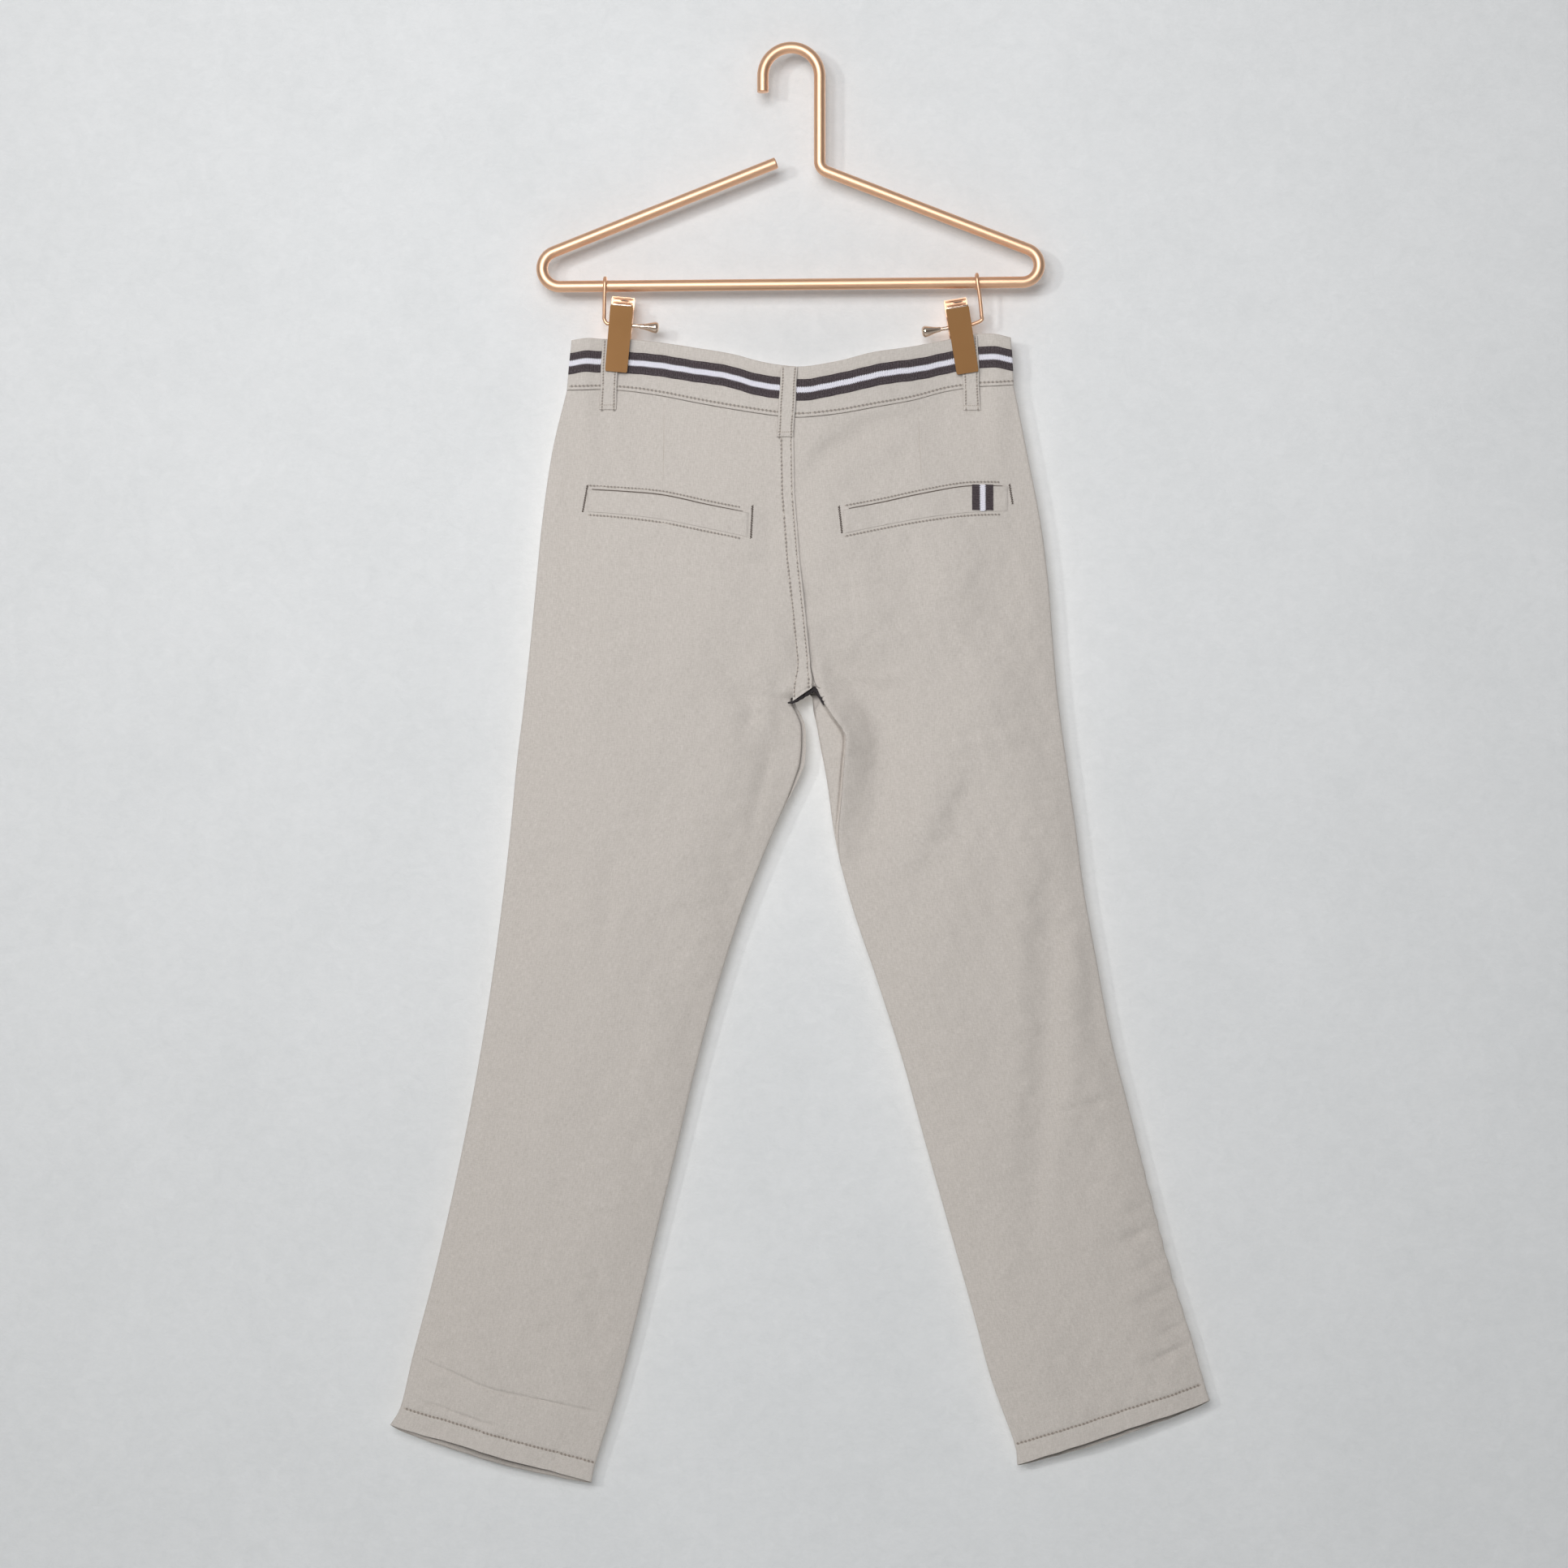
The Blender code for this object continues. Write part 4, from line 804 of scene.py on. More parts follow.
def makePanel(side, layer):
    dense = np.linspace(0, cloth["hem"], 1200)
    x, z = outline(side, layer, np.full_like(dense, 0.5), dense)
    run = runFrom(np.hypot(np.diff(x), np.diff(z)))
    rolled = (side, layer) == ("right", "back")
    hem = run[-1] - panelSteps["hemSeamUp"]
    atCrotch = np.interp(cloth["crotch"], dense, run)
    stops = np.sort(np.concatenate([
        edgedSteps(run[-1], cloth["rowStep"]), hem + np.array(panelSteps["hemSeam"]),
        np.arange(hem - 56.0, hem - 3.0, 1.1),
        np.arange(atCrotch - 24.0, atCrotch + (120.0 if rolled else 30.0), 2.6)]))
    stops = stops[np.concatenate([[True], np.diff(stops) > 0.05])]
    place = np.interp(stops, run, dense)[:, None]
    row = sectionAt(side, place[:, 0])
    width = np.abs(row[:, 2] - row[:, 0])[:, None]
    near = np.array(panelSteps["edge"])[None, :]
    count = int(190 / (panelSteps["rolled"] if rolled else cloth["columnStep"]))
    middle = mix(5.0 / width, 1 - 5.0 / width, np.linspace(0, 1, count)[None, :])
    across = np.concatenate([near[:, :-1] / width, middle, 1 - near[:, -2::-1] / width], 1)
    if rolled:
        # columns close together along the rolled edge of the thigh
        x, z = outline(side, layer, np.full_like(place[:, 0], 0.9), place[:, 0])
        startX = outline(side, layer, np.zeros_like(x), place[:, 0])[0]
        table = np.array(thighRoll)[::-1]
        foldAt = (np.interp(z, table[:, 1], table[:, 0]) - startX) / (x - startX) * 0.9
        foldAt = np.minimum(foldAt, 1 - 4.0 / width[:, 0])[:, None]
        rollAcross = foldAt + np.array(panelSteps["thighRoll"]) / width
        across = np.sort(np.concatenate([across, rollAcross], 1), axis=1)
    place = np.broadcast_to(place, across.shape)
    outer = np.stack(outerPanel(side, layer, across, place), -1)
    if rolled:
        rollThigh(outer)
    inner = outer.copy()
    least = 0.04 - 3.0 * hemCurl(across, place) * (layer == "front")
    inner[..., 1] = facing[layer] * np.maximum(facing[layer] * outer[..., 1] - cloth["shell"], least)
    uv = flatPlaces(outer)
    return addShell(f"{layer}_{side}_cloth", outer, inner, "cloth", uv, f"{layer}_panel_{side}"), uv


panels = {(layer, side): makePanel(side, layer) for layer in ("back", "front") for side in ("left", "right")}
print("panels made")


band = {
    "height": 37.6,
    "tapeDrop": 9.5,
    "tapeWidth": 15.8,
    "tapeThick": 0.8,
    "tapeLift": 0.12,
    "parted": 8.35,        # the place along the table where the front is parted
    "step": 2.0,
}


def bandPoint(layer, station, drop, outward):
    row = rowsAt(waist, station)
    share = np.clip(drop / (row[..., 1] - row[..., 3]), 0.0, 1.0)
    x = mix(row[..., 0], row[..., 2], share)
    z = mix(row[..., 1], row[..., 3], share)
    y = cloth["seamGap"] / 2 + np.maximum(row[..., 4], 0.0) + cloth["wall"]
    y = y + bandRelief(layer, x, share) + outward
    return np.stack([x, facing[layer] * y, z], -1)


def makeBand(layer, side, start, end):
    dense = np.linspace(start, end, 600)
    row = rowsAt(waist, dense)
    run = runFrom(np.hypot(np.diff(row[:, 0]), np.diff(row[:, 1])))
    stops, length, height = edgedSteps(run[-1], band["step"]), run[-1], band["height"]
    station = np.interp(stops, run, dense)
    drops = edgedSteps(height, 1.6, 1.2)[:, None]
    ends = np.minimum(rounding(stops, 1.4), rounding(length - stops, 1.4))[None, :]
    rise = np.minimum(ends, rounding(drops, 1.1))
    rise = np.minimum(rise, mix(0.45, 1.0, rounding(height - drops, 0.9)))
    row = rowsAt(waist, station)
    outer = bandPoint(layer, station[None, :], drops * (row[:, 1] - row[:, 3]) / height,
                      (rise - 1.0) * cloth["wall"])
    inner = outer.copy()
    inner[..., 1] = facing[layer] * np.maximum(np.abs(outer[..., 1]) - cloth["shell"], 0.04)
    uv = flatPlaces(outer)
    body = addShell(f"waistband_{layer}{side}_cloth", outer, inner, "cloth", uv, f"waistband_{layer}{side}")
    # the tape on it
    down = edgedSteps(band["tapeWidth"], 1.3, 0.5)[:, None]
    tapeDrops = band["tapeDrop"] + down
    ripple = 0.22 * np.sin(stops * 0.145 + 1.0) + 0.12 * np.sin(stops * 0.43)
    rise = np.minimum(ends, np.minimum(rounding(tapeDrops - band["tapeDrop"], 0.45),
                                       rounding(band["tapeDrop"] + band["tapeWidth"] - tapeDrops, 0.45)))
    under, over = [bandPoint(layer, station[None, :], tapeDrops + ripple[None, :], lift) for lift in (
        band["tapeLift"], band["tapeLift"] + band["tapeThick"] * mix(0.3, 1.0, rise))]
    tapeUv = np.stack(np.broadcast_arrays(stops[None, :], tapeDrops - band["tapeDrop"]), -1)
    addSheet(f"waist_tape_{layer}{side}", over, under, [body], "tape", tapeUv)
    return body, uv


shift = cloth["seamGap"] / 30
lastStation = len(waist) - 1.0
bands = {
    "back": makeBand("back", "", 0.0, lastStation),
    "frontLeft": makeBand("front", "_left", 0.0, band["parted"] - shift),
    "frontRight": makeBand("front", "_right", band["parted"] + shift, lastStation),
}
print("waistband and tape made")


thread = {
    "pitch": 3.0,          # mm, between three and four stitches to a centimetre, as on chinos
    "length": 1.9,
    "width": 1.0,
    "height": 0.45,
    "hole": (1.0, 0.8),    # half length and half width of the painted shade at each needle hole, turned a little as thread pulls it
    "tackPitch": 0.85,
    "tackWidth": 1.9,
    # groups of stitches with a finish of their own
    "finishes": {"hem_stitches_holes": "hemHoleShade", "tape_stitches": "darkThread",
                 "bartacks": "brownThreadAndShade", "front_bartacks": "brownThreadAndShade"},
}
stitchGroups = {}
stitchForm = np.array([
    (-0.5, 0, -0.3), (-0.3, -0.5, 0.0), (-0.3, 0, 1.0), (-0.3, 0.5, 0.0),
    (0.3, -0.5, 0.0), (0.3, 0, 1.0), (0.3, 0.5, 0.0), (0.5, 0, -0.3)])
stitchFaces = [(0, 2, 1), (0, 3, 2), (0, 1, 3), (1, 2, 5, 4), (2, 3, 6, 5), (3, 1, 4, 6),
               (4, 5, 7), (5, 6, 7), (6, 4, 7)]


def evenly(line, pitch, layer):
    # points spaced evenly along a line, with the directions ahead, upward and sideways at each
    line = np.asarray(line, float)
    run = runFrom(np.linalg.norm(np.diff(line, axis=0), axis=1))
    stops = np.arange(pitch / 2, run[-1], pitch)
    points, later, before = [np.stack([np.interp(stops + shift, run, line[:, k]) for k in range(3)], 1)
                             for shift in (0.0, 0.4, -0.4)]
    ahead = later - before
    ahead = ahead / np.maximum(np.linalg.norm(ahead, axis=1)[:, None], 1e-6)
    up = np.array([0.0, facing[layer], 0.0])
    return points, ahead, up, np.cross(ahead, up)


def addStitches(group, points, long, wide, up, size):
    form = stitchForm * size
    made = (points[:, None] + form[None, :, :1] * long[:, None] + form[None, :, 1:2] * wide[:, None]
            + form[None, :, 2:] * up)
    stitchGroups.setdefault(group, []).append((made, stitchFaces))


def sewRow(group, line, layer, pitch=thread["pitch"], holes=True):
    # stitches along a line that lies on the cloth
    points, ahead, up, side = evenly(line, pitch, layer)
    size = np.array([thread["length"] * pitch / thread["pitch"], thread["width"], thread["height"]])
    addStitches(group, points, ahead, side, up, size)
    if holes:
        # dark discs at the needle holes between stitches: painted shade in the holes
        gaps = points + ahead * pitch / 2
        turns = np.arange(6) * math.pi / 3
        longWay, wideWay = ahead + side * 0.6, side - ahead * 0.6
        halfLong, halfWide = np.array(thread["hole"]) * min(pitch / 3.0, 1.0)
        ring = np.cos(turns)[:, None, None] * longWay * halfLong
        ring = ring + np.sin(turns)[:, None, None] * wideWay * halfWide
        rings = np.moveaxis(ring, 0, 1) + gaps[:, None] + up * 0.05
        cone = [(k, (k + 1) % 6, 6) for k in range(6)] + [(5, 4, 3, 2, 1, 0)]
        holeForm = np.concatenate([rings, gaps[:, None] + up * 0.09], 1)
        stitchGroups.setdefault(group + "_holes", []).append((holeForm, cone))


def sewTack(group, line, layer):
    # a bartack: threads laid close together across a short line
    points, ahead, up, side = evenly(line, thread["tackPitch"], layer)
    lean = np.where(np.arange(len(points)) % 2 == 0, 0.5, 0.1)[:, None]
    addStitches(group, points, side + ahead * lean, ahead, up, np.array([thread["tackWidth"], 0.7, 0.5]))


def onCloth(layer, places, lift=0.0, steps=6):
    # a smooth line on the cloth through x and z places
    line = smoothed(places, steps)
    return np.stack([line[:, 0], outsideY(layer, line[:, 0], line[:, 1], lift), line[:, 1]], 1)


def finishStitches():
    for group, parts in stitchGroups.items():
        points, faces, start = [], [], 0
        for made, form in parts:
            each = made.shape[1]
            for k in range(len(made)):
                faces += [[start + k * each + corner for corner in face] for face in form]
            start += len(made) * each
            points.append(made.reshape(-1, 3))
        usual = "needleHoleShade" if group.endswith("_holes") else "thread"
        addMesh(group, np.concatenate(points), faces, thread["finishes"].get(group, usual))


def laidGrid(layer, corners, lift, thick, radius=0.6):
    # outer and inner grids over rows of x and z places, with rounded edges
    x, z = corners[..., 0], corners[..., 1]
    across = np.cumsum(np.hypot(np.diff(x, axis=1), np.diff(z, axis=1)), 1)
    across = np.concatenate([np.zeros((len(x), 1)), across], 1)
    down = np.cumsum(np.hypot(np.diff(x, axis=0), np.diff(z, axis=0)), 0)
    down = np.concatenate([np.zeros((1, x.shape[1])), down], 0)
    rise = np.ones_like(x)
    for distance in (across, across[:, -1:] - across, down, down[-1:] - down):
        rise = np.minimum(rise, rounding(distance, radius))
    base = outsideY(layer, x, z)
    inner = np.stack([x, base + facing[layer] * lift, z], -1)
    outer = np.stack([x, base + facing[layer] * (lift + thick * rise), z], -1)
    return outer, inner


def topStitching():
    # the row above the waist seam, the two tonal rows on the tape, and the hems
    onTape = band["tapeLift"] + band["tapeThick"]
    for layer, start, end in (("back", 0.0, lastStation), ("front", 0.0, band["parted"] - 0.1),
                              ("front", band["parted"] + 0.1, lastStation)):
        station = np.linspace(start + 0.05, end - 0.05, 240)
        row = rowsAt(waist, station)
        sewRow("waist_stitches", bandPoint(layer, station, row[:, 1] - row[:, 3] - 2.8, 0.2), layer)
        for drop in (band["tapeDrop"] + 1.5, band["tapeDrop"] + band["tapeWidth"] - 1.5):
            line = bandPoint(layer, station, np.full_like(station, drop), onTape)
            sewRow("tape_stitches", line, layer, holes=False)
    for layer in ("back", "front"):
        for side in ("left", "right"):
            across = np.linspace(0.015, 0.985, 90)
            place = np.full_like(across, cloth["hem"] - cloth["hemSeam"] / cloth["hemTurn"])
            x, y, z = outerPanel(side, layer, across, place)
            sewRow("hem_stitches", np.stack([x, y + 0.22 * facing[layer], z], 1), layer)


topStitching()

loops = {
    "thick": 1.1,
    "width": 12.4,
    # name, layer, x, lean, length below the seam, lift over the seat seam
    "places": [
        ("belt_loop_back_left", "back", -133.5, 2.0, 15.0, 0.0),
        ("belt_loop_back_centre", "back", -1.5, 3.0, 15.0, 1.0),
        ("belt_loop_back_right", "back", 131.5, -2.0, 17.0, 0.0),
        ("belt_loop_front_left", "front", -84.0, 1.0, 15.0, 0.0),
        ("belt_loop_front_right", "front", 84.0, -1.0, 15.0, 0.0),
    ],
}


def makeLoop(name, layer, x, lean, below, lift):
    row = waistAt(np.array([x]))[0]
    top, bottom = row[1] - 0.6, row[3] - below
    tapeTop = row[1] - band["tapeDrop"]
    # heights and how far the loop stands off the cloth there
    stand = [(bottom, lift + 0.15), (bottom + 3.0, lift + 0.35), (row[3] - 1.5, max(lift, 0.8) + 0.45),
             (tapeTop - band["tapeWidth"] - 2.0, 1.4), (tapeTop - band["tapeWidth"] / 2, 1.7),
             (tapeTop + 2.0, 1.4), (top - 1.5, 0.35), (top, 0.2)]
    heights = top - edgedSteps(top - bottom, 1.4, 0.7)
    widths = edgedSteps(loops["width"], 1.2, 0.7)
    centre = x - lean * (top - heights) / (top - bottom)
    fullness = 1.0 + 0.03 * np.sin(heights * 0.21) - 0.02 * bell(heights - bottom, 3.4, 1.2)
    gridX = centre[:, None] + (widths[None, :] - loops["width"] / 2) * fullness[:, None]
    gridZ = np.broadcast_to(heights[:, None], gridX.shape)
    standAt = np.interp(heights, [s[0] for s in stand], [s[1] for s in stand])[:, None]
    # the end is folded under
    standAt = standAt + 0.25 * bell(heights - bottom, 1.2, 1.2)[:, None]
    standAt = standAt - 0.25 * bell(heights - bottom, 3.2, 0.7)[:, None]
    rise = np.minimum(rounding(widths, 0.8), rounding(loops["width"] - widths, 0.8))[None, :]
    ends = np.minimum(rounding(top - heights, 0.8), rounding(heights - bottom, 0.8))[:, None]
    middleY = outsideY(layer, centre, heights)[:, None]
    base = mix(np.broadcast_to(middleY, gridX.shape), outsideY(layer, gridX, gridZ), 0.5)
    inner = np.stack([gridX, base + facing[layer] * standAt, gridZ], -1)
    outer = inner.copy()
    outer[..., 1] += facing[layer] * loops["thick"] * np.minimum(rise, ends)
    carrier = bands["back" if layer == "back" else "frontLeft" if x < 0 else "frontRight"][0]
    addSheet(name, outer, inner, [carrier])
    for edge in (1.6, loops["width"] - 1.6):
        sewRow("loop_stitches", outer[2:-2, int(np.argmin(np.abs(widths - edge)))], layer, pitch=2.2)
    bar = outer[int(np.argmin(np.abs(heights - bottom - 3.2)))][2:-2]
    sewRow("loop_stitches", bar, layer, pitch=1.5, holes=False)


for place in loops["places"]:
    makeLoop(*place)
print("belt loops made")

seatSeam = {
    "thick": 0.75,
    "rows": (-4.6, 2.6),  # the stitch rows' distances from the centre line
}


def makeSeatSeam():
    offsets = np.concatenate([[-5.5, -5.42, -5.2, -4.9], np.linspace(-4.4, 3.4, 9), [3.8, 4.1, 4.35, 4.5]])
    start = float(waistAt(np.array([-3.0]))[0, 3]) - 0.5
    down = np.concatenate([np.arange(start, -452, -1.8), np.arange(-452, -479.5, -0.9)])
    rows = []
    for offset in offsets:
        # near the crotch it widens and ends along the slanted edge of the opening
        end = mix(-479.5, -469.5, (offset + 5.5) / 10)
        z = np.where(down < -452, mix(-452, end, (down + 452) / (down[-1] + 452)), down)
        x = centreX(down) + offset * (1 + 0.45 * ease((-452 - down) / 20))
        rows.append(np.stack([x, outsideY("back", x, np.maximum(z, cloth["jointEnd"])), z], 1))
    under = np.stack(rows, 1)
    under[..., 1] = np.minimum(under[..., 1], np.minimum(under[:, :1, 1], under[:, -1:, 1]) + 0.2)
    # felled flat on the left, with its fold standing proud on the right
    rise = np.minimum(rounding(offsets + 5.5, 0.8) * 0.55, rounding(4.5 - offsets, 0.9))
    ridge = 0.5 * bell(offsets, 3.6, 0.9) - 0.25 * bell(offsets, 2.6, 0.5)
    ridge = ridge - 0.2 * bell(offsets, -4.6, 0.5)
    felled = np.maximum(rise, mix(0.55, 1.0, ease((offsets + 4.0) / 6.0)) * (rise > 0.5))
    height = seatSeam["thick"] * felled + ridge
    run = under[:, 6, 2]
    pull = 0.14 * np.sin(run * 0.9 + 1.4 * np.sin(run * 0.23))
    # the end is drawn together into short thick folds
    bunched = bell(run, -472, 7)[:, None] * (0.7 + 0.5 * np.sin(offsets * 1.9 + 0.6)[None, :]
                                                         + 0.3 * np.sin(run * 1.7)[:, None])
    height = height[None, :] + bunched * (np.abs(offsets[None, :]) < 4.2)
    outer, inner = under.copy(), under.copy()
    outer[..., 1] -= np.maximum(height + pull[:, None] * (np.abs(offsets[None, :]) < 4), 0.05) + 0.15
    inner[..., 1] -= 0.1
    addSheet("seat_seam", outer, inner, [panels["back", "left"][0]])
    for offset in seatSeam["rows"]:
        line = np.stack([[np.interp(offset, offsets, outer[k, :, axis]) for axis in range(3)]
                         for k in range(8, len(down) - 3)])
        sewRow("seat_stitches", line, "back")


makeSeatSeam()


def makeCrotchRim():
    # the turned edge of the cloth around the small opening where the seat seam ends, drawn near black as
    # painted shade of the opening: x, z, radius
    table = [(-2.5, -480.8, 0.5), (1, -480.2, 1.2), (6, -477.4, 1.6), (11, -474.0, 1.9),
             (15.5, -471.2, 2.2), (18.4, -471.4, 2.2), (20.8, -475.5, 1.5), (24.0, -482.5, 0.4)]
    x, z, radius = smoothed(table, 8).T
    radius = radius * (1 + 0.1 * np.sin(np.arange(len(x)) * 1.1))
    y = outsideY("back", x, np.maximum(z, cloth["jointEnd"])) + 0.2 + 0.6 * radius
    addTube("crotch_turned_edge_shade", np.stack([x, y, z], 1), radius, 14, "openingShade")


makeCrotchRim()

pockets = {
    "thick": 0.9,
    "height": 17.5,
    # x, top z, bottom z
    "left": [(-150.5, -323.5, -340.0), (-123.5, -325.5, -342.5), (-94.0, -328.5, -346.5),
             (-62.0, -335.5, -353.0), (-31.5, -341.5, -359.5)],
    "right": [(38.5, -339.5, -357.0), (66.0, -334.0, -351.0), (96.0, -327.5, -345.5),
              (129.0, -321.5, -341.0), (160.0, -321.0, -339.5)],
    "tab": (133.0, 148.8, -320.0, -339.0),
    # the bartack at each end: its two ends' places from the welt's top and bottom corners
    "tacks": {"left": {0: (0.4, 3.4, -3.2, 0.2), -1: (3.0, 5.6, 1.8, -1.0)},
              "right": {0: (-3.6, 3.0, -1.4, 0.6), -1: (1.0, 1.8, 3.4, 5.0)}},
}


def makeBackPocket(side):
    table = np.array(pockets[side])
    row = rowsAt(table, np.linspace(0, len(table) - 1, 90))
    top, bottom = row[:, :2], row[:, ::2]
    steps = edgedSteps(pockets["height"], 1.3, 0.9)
    share = (steps / steps[-1])[:, None]
    corners = mix(top[None], bottom[None], share[..., None])
    outer, inner = laidGrid("back", corners, 0.1, pockets["thick"], 0.7)
    # the welt's free top edge stands open over a dark slit, its lower edge is pressed flat
    outer[..., 1] -= 0.35 * bell(share, 0.07, 0.06) - 0.3 * ease((share - 0.75) / 0.25)
    addSheet(f"pocket_welt_{side}", outer, inner, [panels["back", side][0]])
    # the slit: a thin dark tube along the top edge, painted shade in the slit, in the brown thread finish
    slitX, slitZ = top[3:-3, 0], top[3:-3, 1] + 0.35
    line = np.stack([slitX, outsideY("back", slitX, slitZ, 0.03), slitZ], 1)
    thin = 0.62 * np.sin(np.linspace(0.25, math.pi - 0.25, len(line))) ** 0.4
    thin = thin * mix(1.0, 0.7, np.linspace(0, 1, len(line)))
    addTube(f"pocket_slit_shade_{side}", line, thin, 6, "brownThreadAndShade")
    for above, edge in ((3.0, top), (-2.2, bottom)):
        places = np.stack([edge[::6, 0], edge[::6, 1] + above], 1)
        sewRow("pocket_stitches", onCloth("back", places, 0.02), "back", 2.6)
    for k, (highX, highZ, lowX, lowZ) in pockets["tacks"][side].items():
        line = [(table[k, 0] + highX, table[k, 1] + highZ), (table[k, 0] + lowX, table[k, 2] + lowZ)]
        sewTack("bartacks", onCloth("back", np.array(line), 0.05), "back")


for side in ("left", "right"):
    makeBackPocket(side)


def makeTab():
    leftX, rightX, topZ, bottomZ = pockets["tab"]
    across = edgedSteps(rightX - leftX, 1.3, 0.5)[None, :]
    down = edgedSteps(topZ - bottomZ, 1.3, 0.5)[:, None]
    # the woven ribbon's white stripe reaches a little lower, between cut dark edges
    z = topZ - down - 0.9 * bell(across, 7.9, 2.0) * (down / 19.0)
    outer, inner = laidGrid("back", np.stack(np.broadcast_arrays(leftX + across + 0.0 * down, z), -1),
                            pockets["thick"] + 0.35, 0.7, 0.4)
    uv = np.stack(np.broadcast_arrays(down, across), -1)
    addSheet("pocket_tab", outer, inner, ["pocket_welt_right_cloth"], "tape", uv)


makeTab()

# darts: a sewn line with the cloth drawn in beside it
for name, line in (("dart_left", [(-94.2, -255.5), (-94.0, -290.0), (-94.6, -326.5)]),
                   ("dart_right", [(93.6, -258.5), (94.6, -295.0), (96.4, -326.5)])):
    path = onCloth("back", line, -0.12, 20)
    addTube(name, path, 0.22 * np.sin(np.linspace(0.2, math.pi - 0.2, len(path))) ** 0.5, 6, "thread")
print("seat seam, pockets and darts made")


front = {
    "thick": 0.9,
    "flyWidth": 30.0, "flyLength": 118.0, "flyStraight": 0.68,
    "pocketTop": (104.0, -264.0), "pocketBottom": (168.0, -386.0), "pocketWidth": 10.0,
    "buttonX": -9.0, "buttonRadius": 7.5, "buttonThick": 2.6,
}


def makeFly():
    top = float(waistAt(np.array([0.0]))[0, 3]) - 1.2
    down = edgedSteps(front["flyLength"], 2.4, 1.0)
    share = down / front["flyLength"]
    bend = np.clip((share - front["flyStraight"]) / (1 - front["flyStraight"]), 0.0, 1.0)
    width = front["flyWidth"] * np.sqrt(np.maximum(1 - bend ** 2, 0.02))
    z = top - down
    edge = centreX(z) - 0.3
    steps = edgedSteps(front["flyWidth"], 1.8, 1.0) / front["flyWidth"]
    x = edge[:, None] - width[:, None] * steps[None, :]
    corners = np.stack(np.broadcast_arrays(x, z[:, None]), -1)
    outer, inner = laidGrid("front", corners, 0.1, front["thick"], 0.7)
    addSheet("fly_placket", outer, inner, [panels["front", "left"][0]])
    curve = (edge - width + 2.6 * np.minimum(width / 6.0, 1.0))[1:-4]
    for inset in (0.0, 5.5):
        x = np.minimum(curve + inset, edge[1:-4] - 1.5)
        line = np.stack([x, z[1:-4] + inset * 0.5 * bend[1:-4]], 1)
        sewRow("fly_stitches", onCloth("front", line[::3], 0.1 + front["thick"]), "front")
    tack = np.array([(edge[-1] - 3.0, z[-1] + 3.0), (edge[-1] - 12.0, z[-1] + 9.0)])
    sewTack("front_bartacks", onCloth("front", tack, 1.0), "front")


def makeFrontPocket(side):
    outward = -1.0 if side == "left" else 1.0
    (topX, topZ), (bottomX, bottomZ) = front["pocketTop"], front["pocketBottom"]
    run = math.hypot(bottomX - topX, bottomZ - topZ)
    down = edgedSteps(run, 2.2, 1.0)[:, None] / run
    sideways = edgedSteps(front["pocketWidth"], 1.1, 0.8)[None, :] - front["pocketWidth"] / 2
    sideways = sideways + 2.0 * np.sin(math.pi * down)
    x = mix(topX, bottomX, down) + sideways * (topZ - bottomZ) / run
    z = mix(topZ, bottomZ, down) + sideways * (bottomX - topX) / run
    outer, inner = laidGrid("front", np.stack([outward * x, z], -1), 0.1, front["thick"], 0.7)
    addSheet(f"front_pocket_edge_{side}", outer, inner, [panels["front", side][0]])
    for k in (3, 8):
        sewRow("front_pocket_stitches", outer[2:-2, k], "front")
    for end in (2, -3):
        sewTack("front_bartacks", outer[end, 1:-1][[0, -1]] + np.array([0, 0.05, 0]), "front")


def makeButton():
    x, radius, thick = front["buttonX"], front["buttonRadius"], front["buttonThick"]
    z = waistAt(np.array([x]))[0][1] - band["tapeDrop"] - band["tapeWidth"] / 2
    start = float(outsideY("front", np.array([x]), np.array([z]), 1.35)[0])
    # along the axis and out from it, both as shares
    profile = [(0.0, 0.0), (0.0, 0.72), (0.12, 0.86), (0.35, 0.97), (0.6, 1.0), (0.82, 0.98), (0.96, 0.93),
               (1.0, 0.86), (0.97, 0.78), (0.88, 0.71), (0.78, 0.64), (0.74, 0.5), (0.73, 0.25), (0.73, 0.0)]
    turns = np.arange(48) * 2 * math.pi / 48
    rings = []
    for along, out in profile:
        reach = max(out, 0.012) * radius
        y = np.full_like(turns, start + along * thick)
        rings.append(np.stack([x + reach * np.cos(turns), y, z + reach * np.sin(turns)], 1))
    addRings("waist_button_turned", rings, "horn", ["waist_button"], sharpAngle=60.0)
    # dark discs in the four eyes: painted shade in the holes, in the brown thread finish
    for k in range(4):
        turn = math.pi / 4 + k * math.pi / 2
        eyeX, eyeY, eyeZ = x + 1.7 * math.cos(turn), start + 0.7 * thick, z + 1.7 * math.sin(turn)
        eye = [(eyeX, eyeY, eyeZ), (eyeX, eyeY + 0.16, eyeZ)]
        addTube(f"button_eye_shade_{k + 1}", eye, 0.75, 12, "brownThreadAndShade")
    for label, sign in (("low", -1), ("high", 1)):
        path = [(x - 1.3, start + 0.74 * thick, z + sign * 1.3), (x, start + 1.0 * thick, z + sign * 0.9),
                (x + 1.3, start + 0.74 * thick, z + sign * 1.3)]
        addTube(f"button_thread_{label}", smoothed(path, 4), 0.45, 8, "thread")


makeFly()
for side in ("left", "right"):
    makeFrontPocket(side)
makeButton()
finishStitches()
print("front and stitches made")

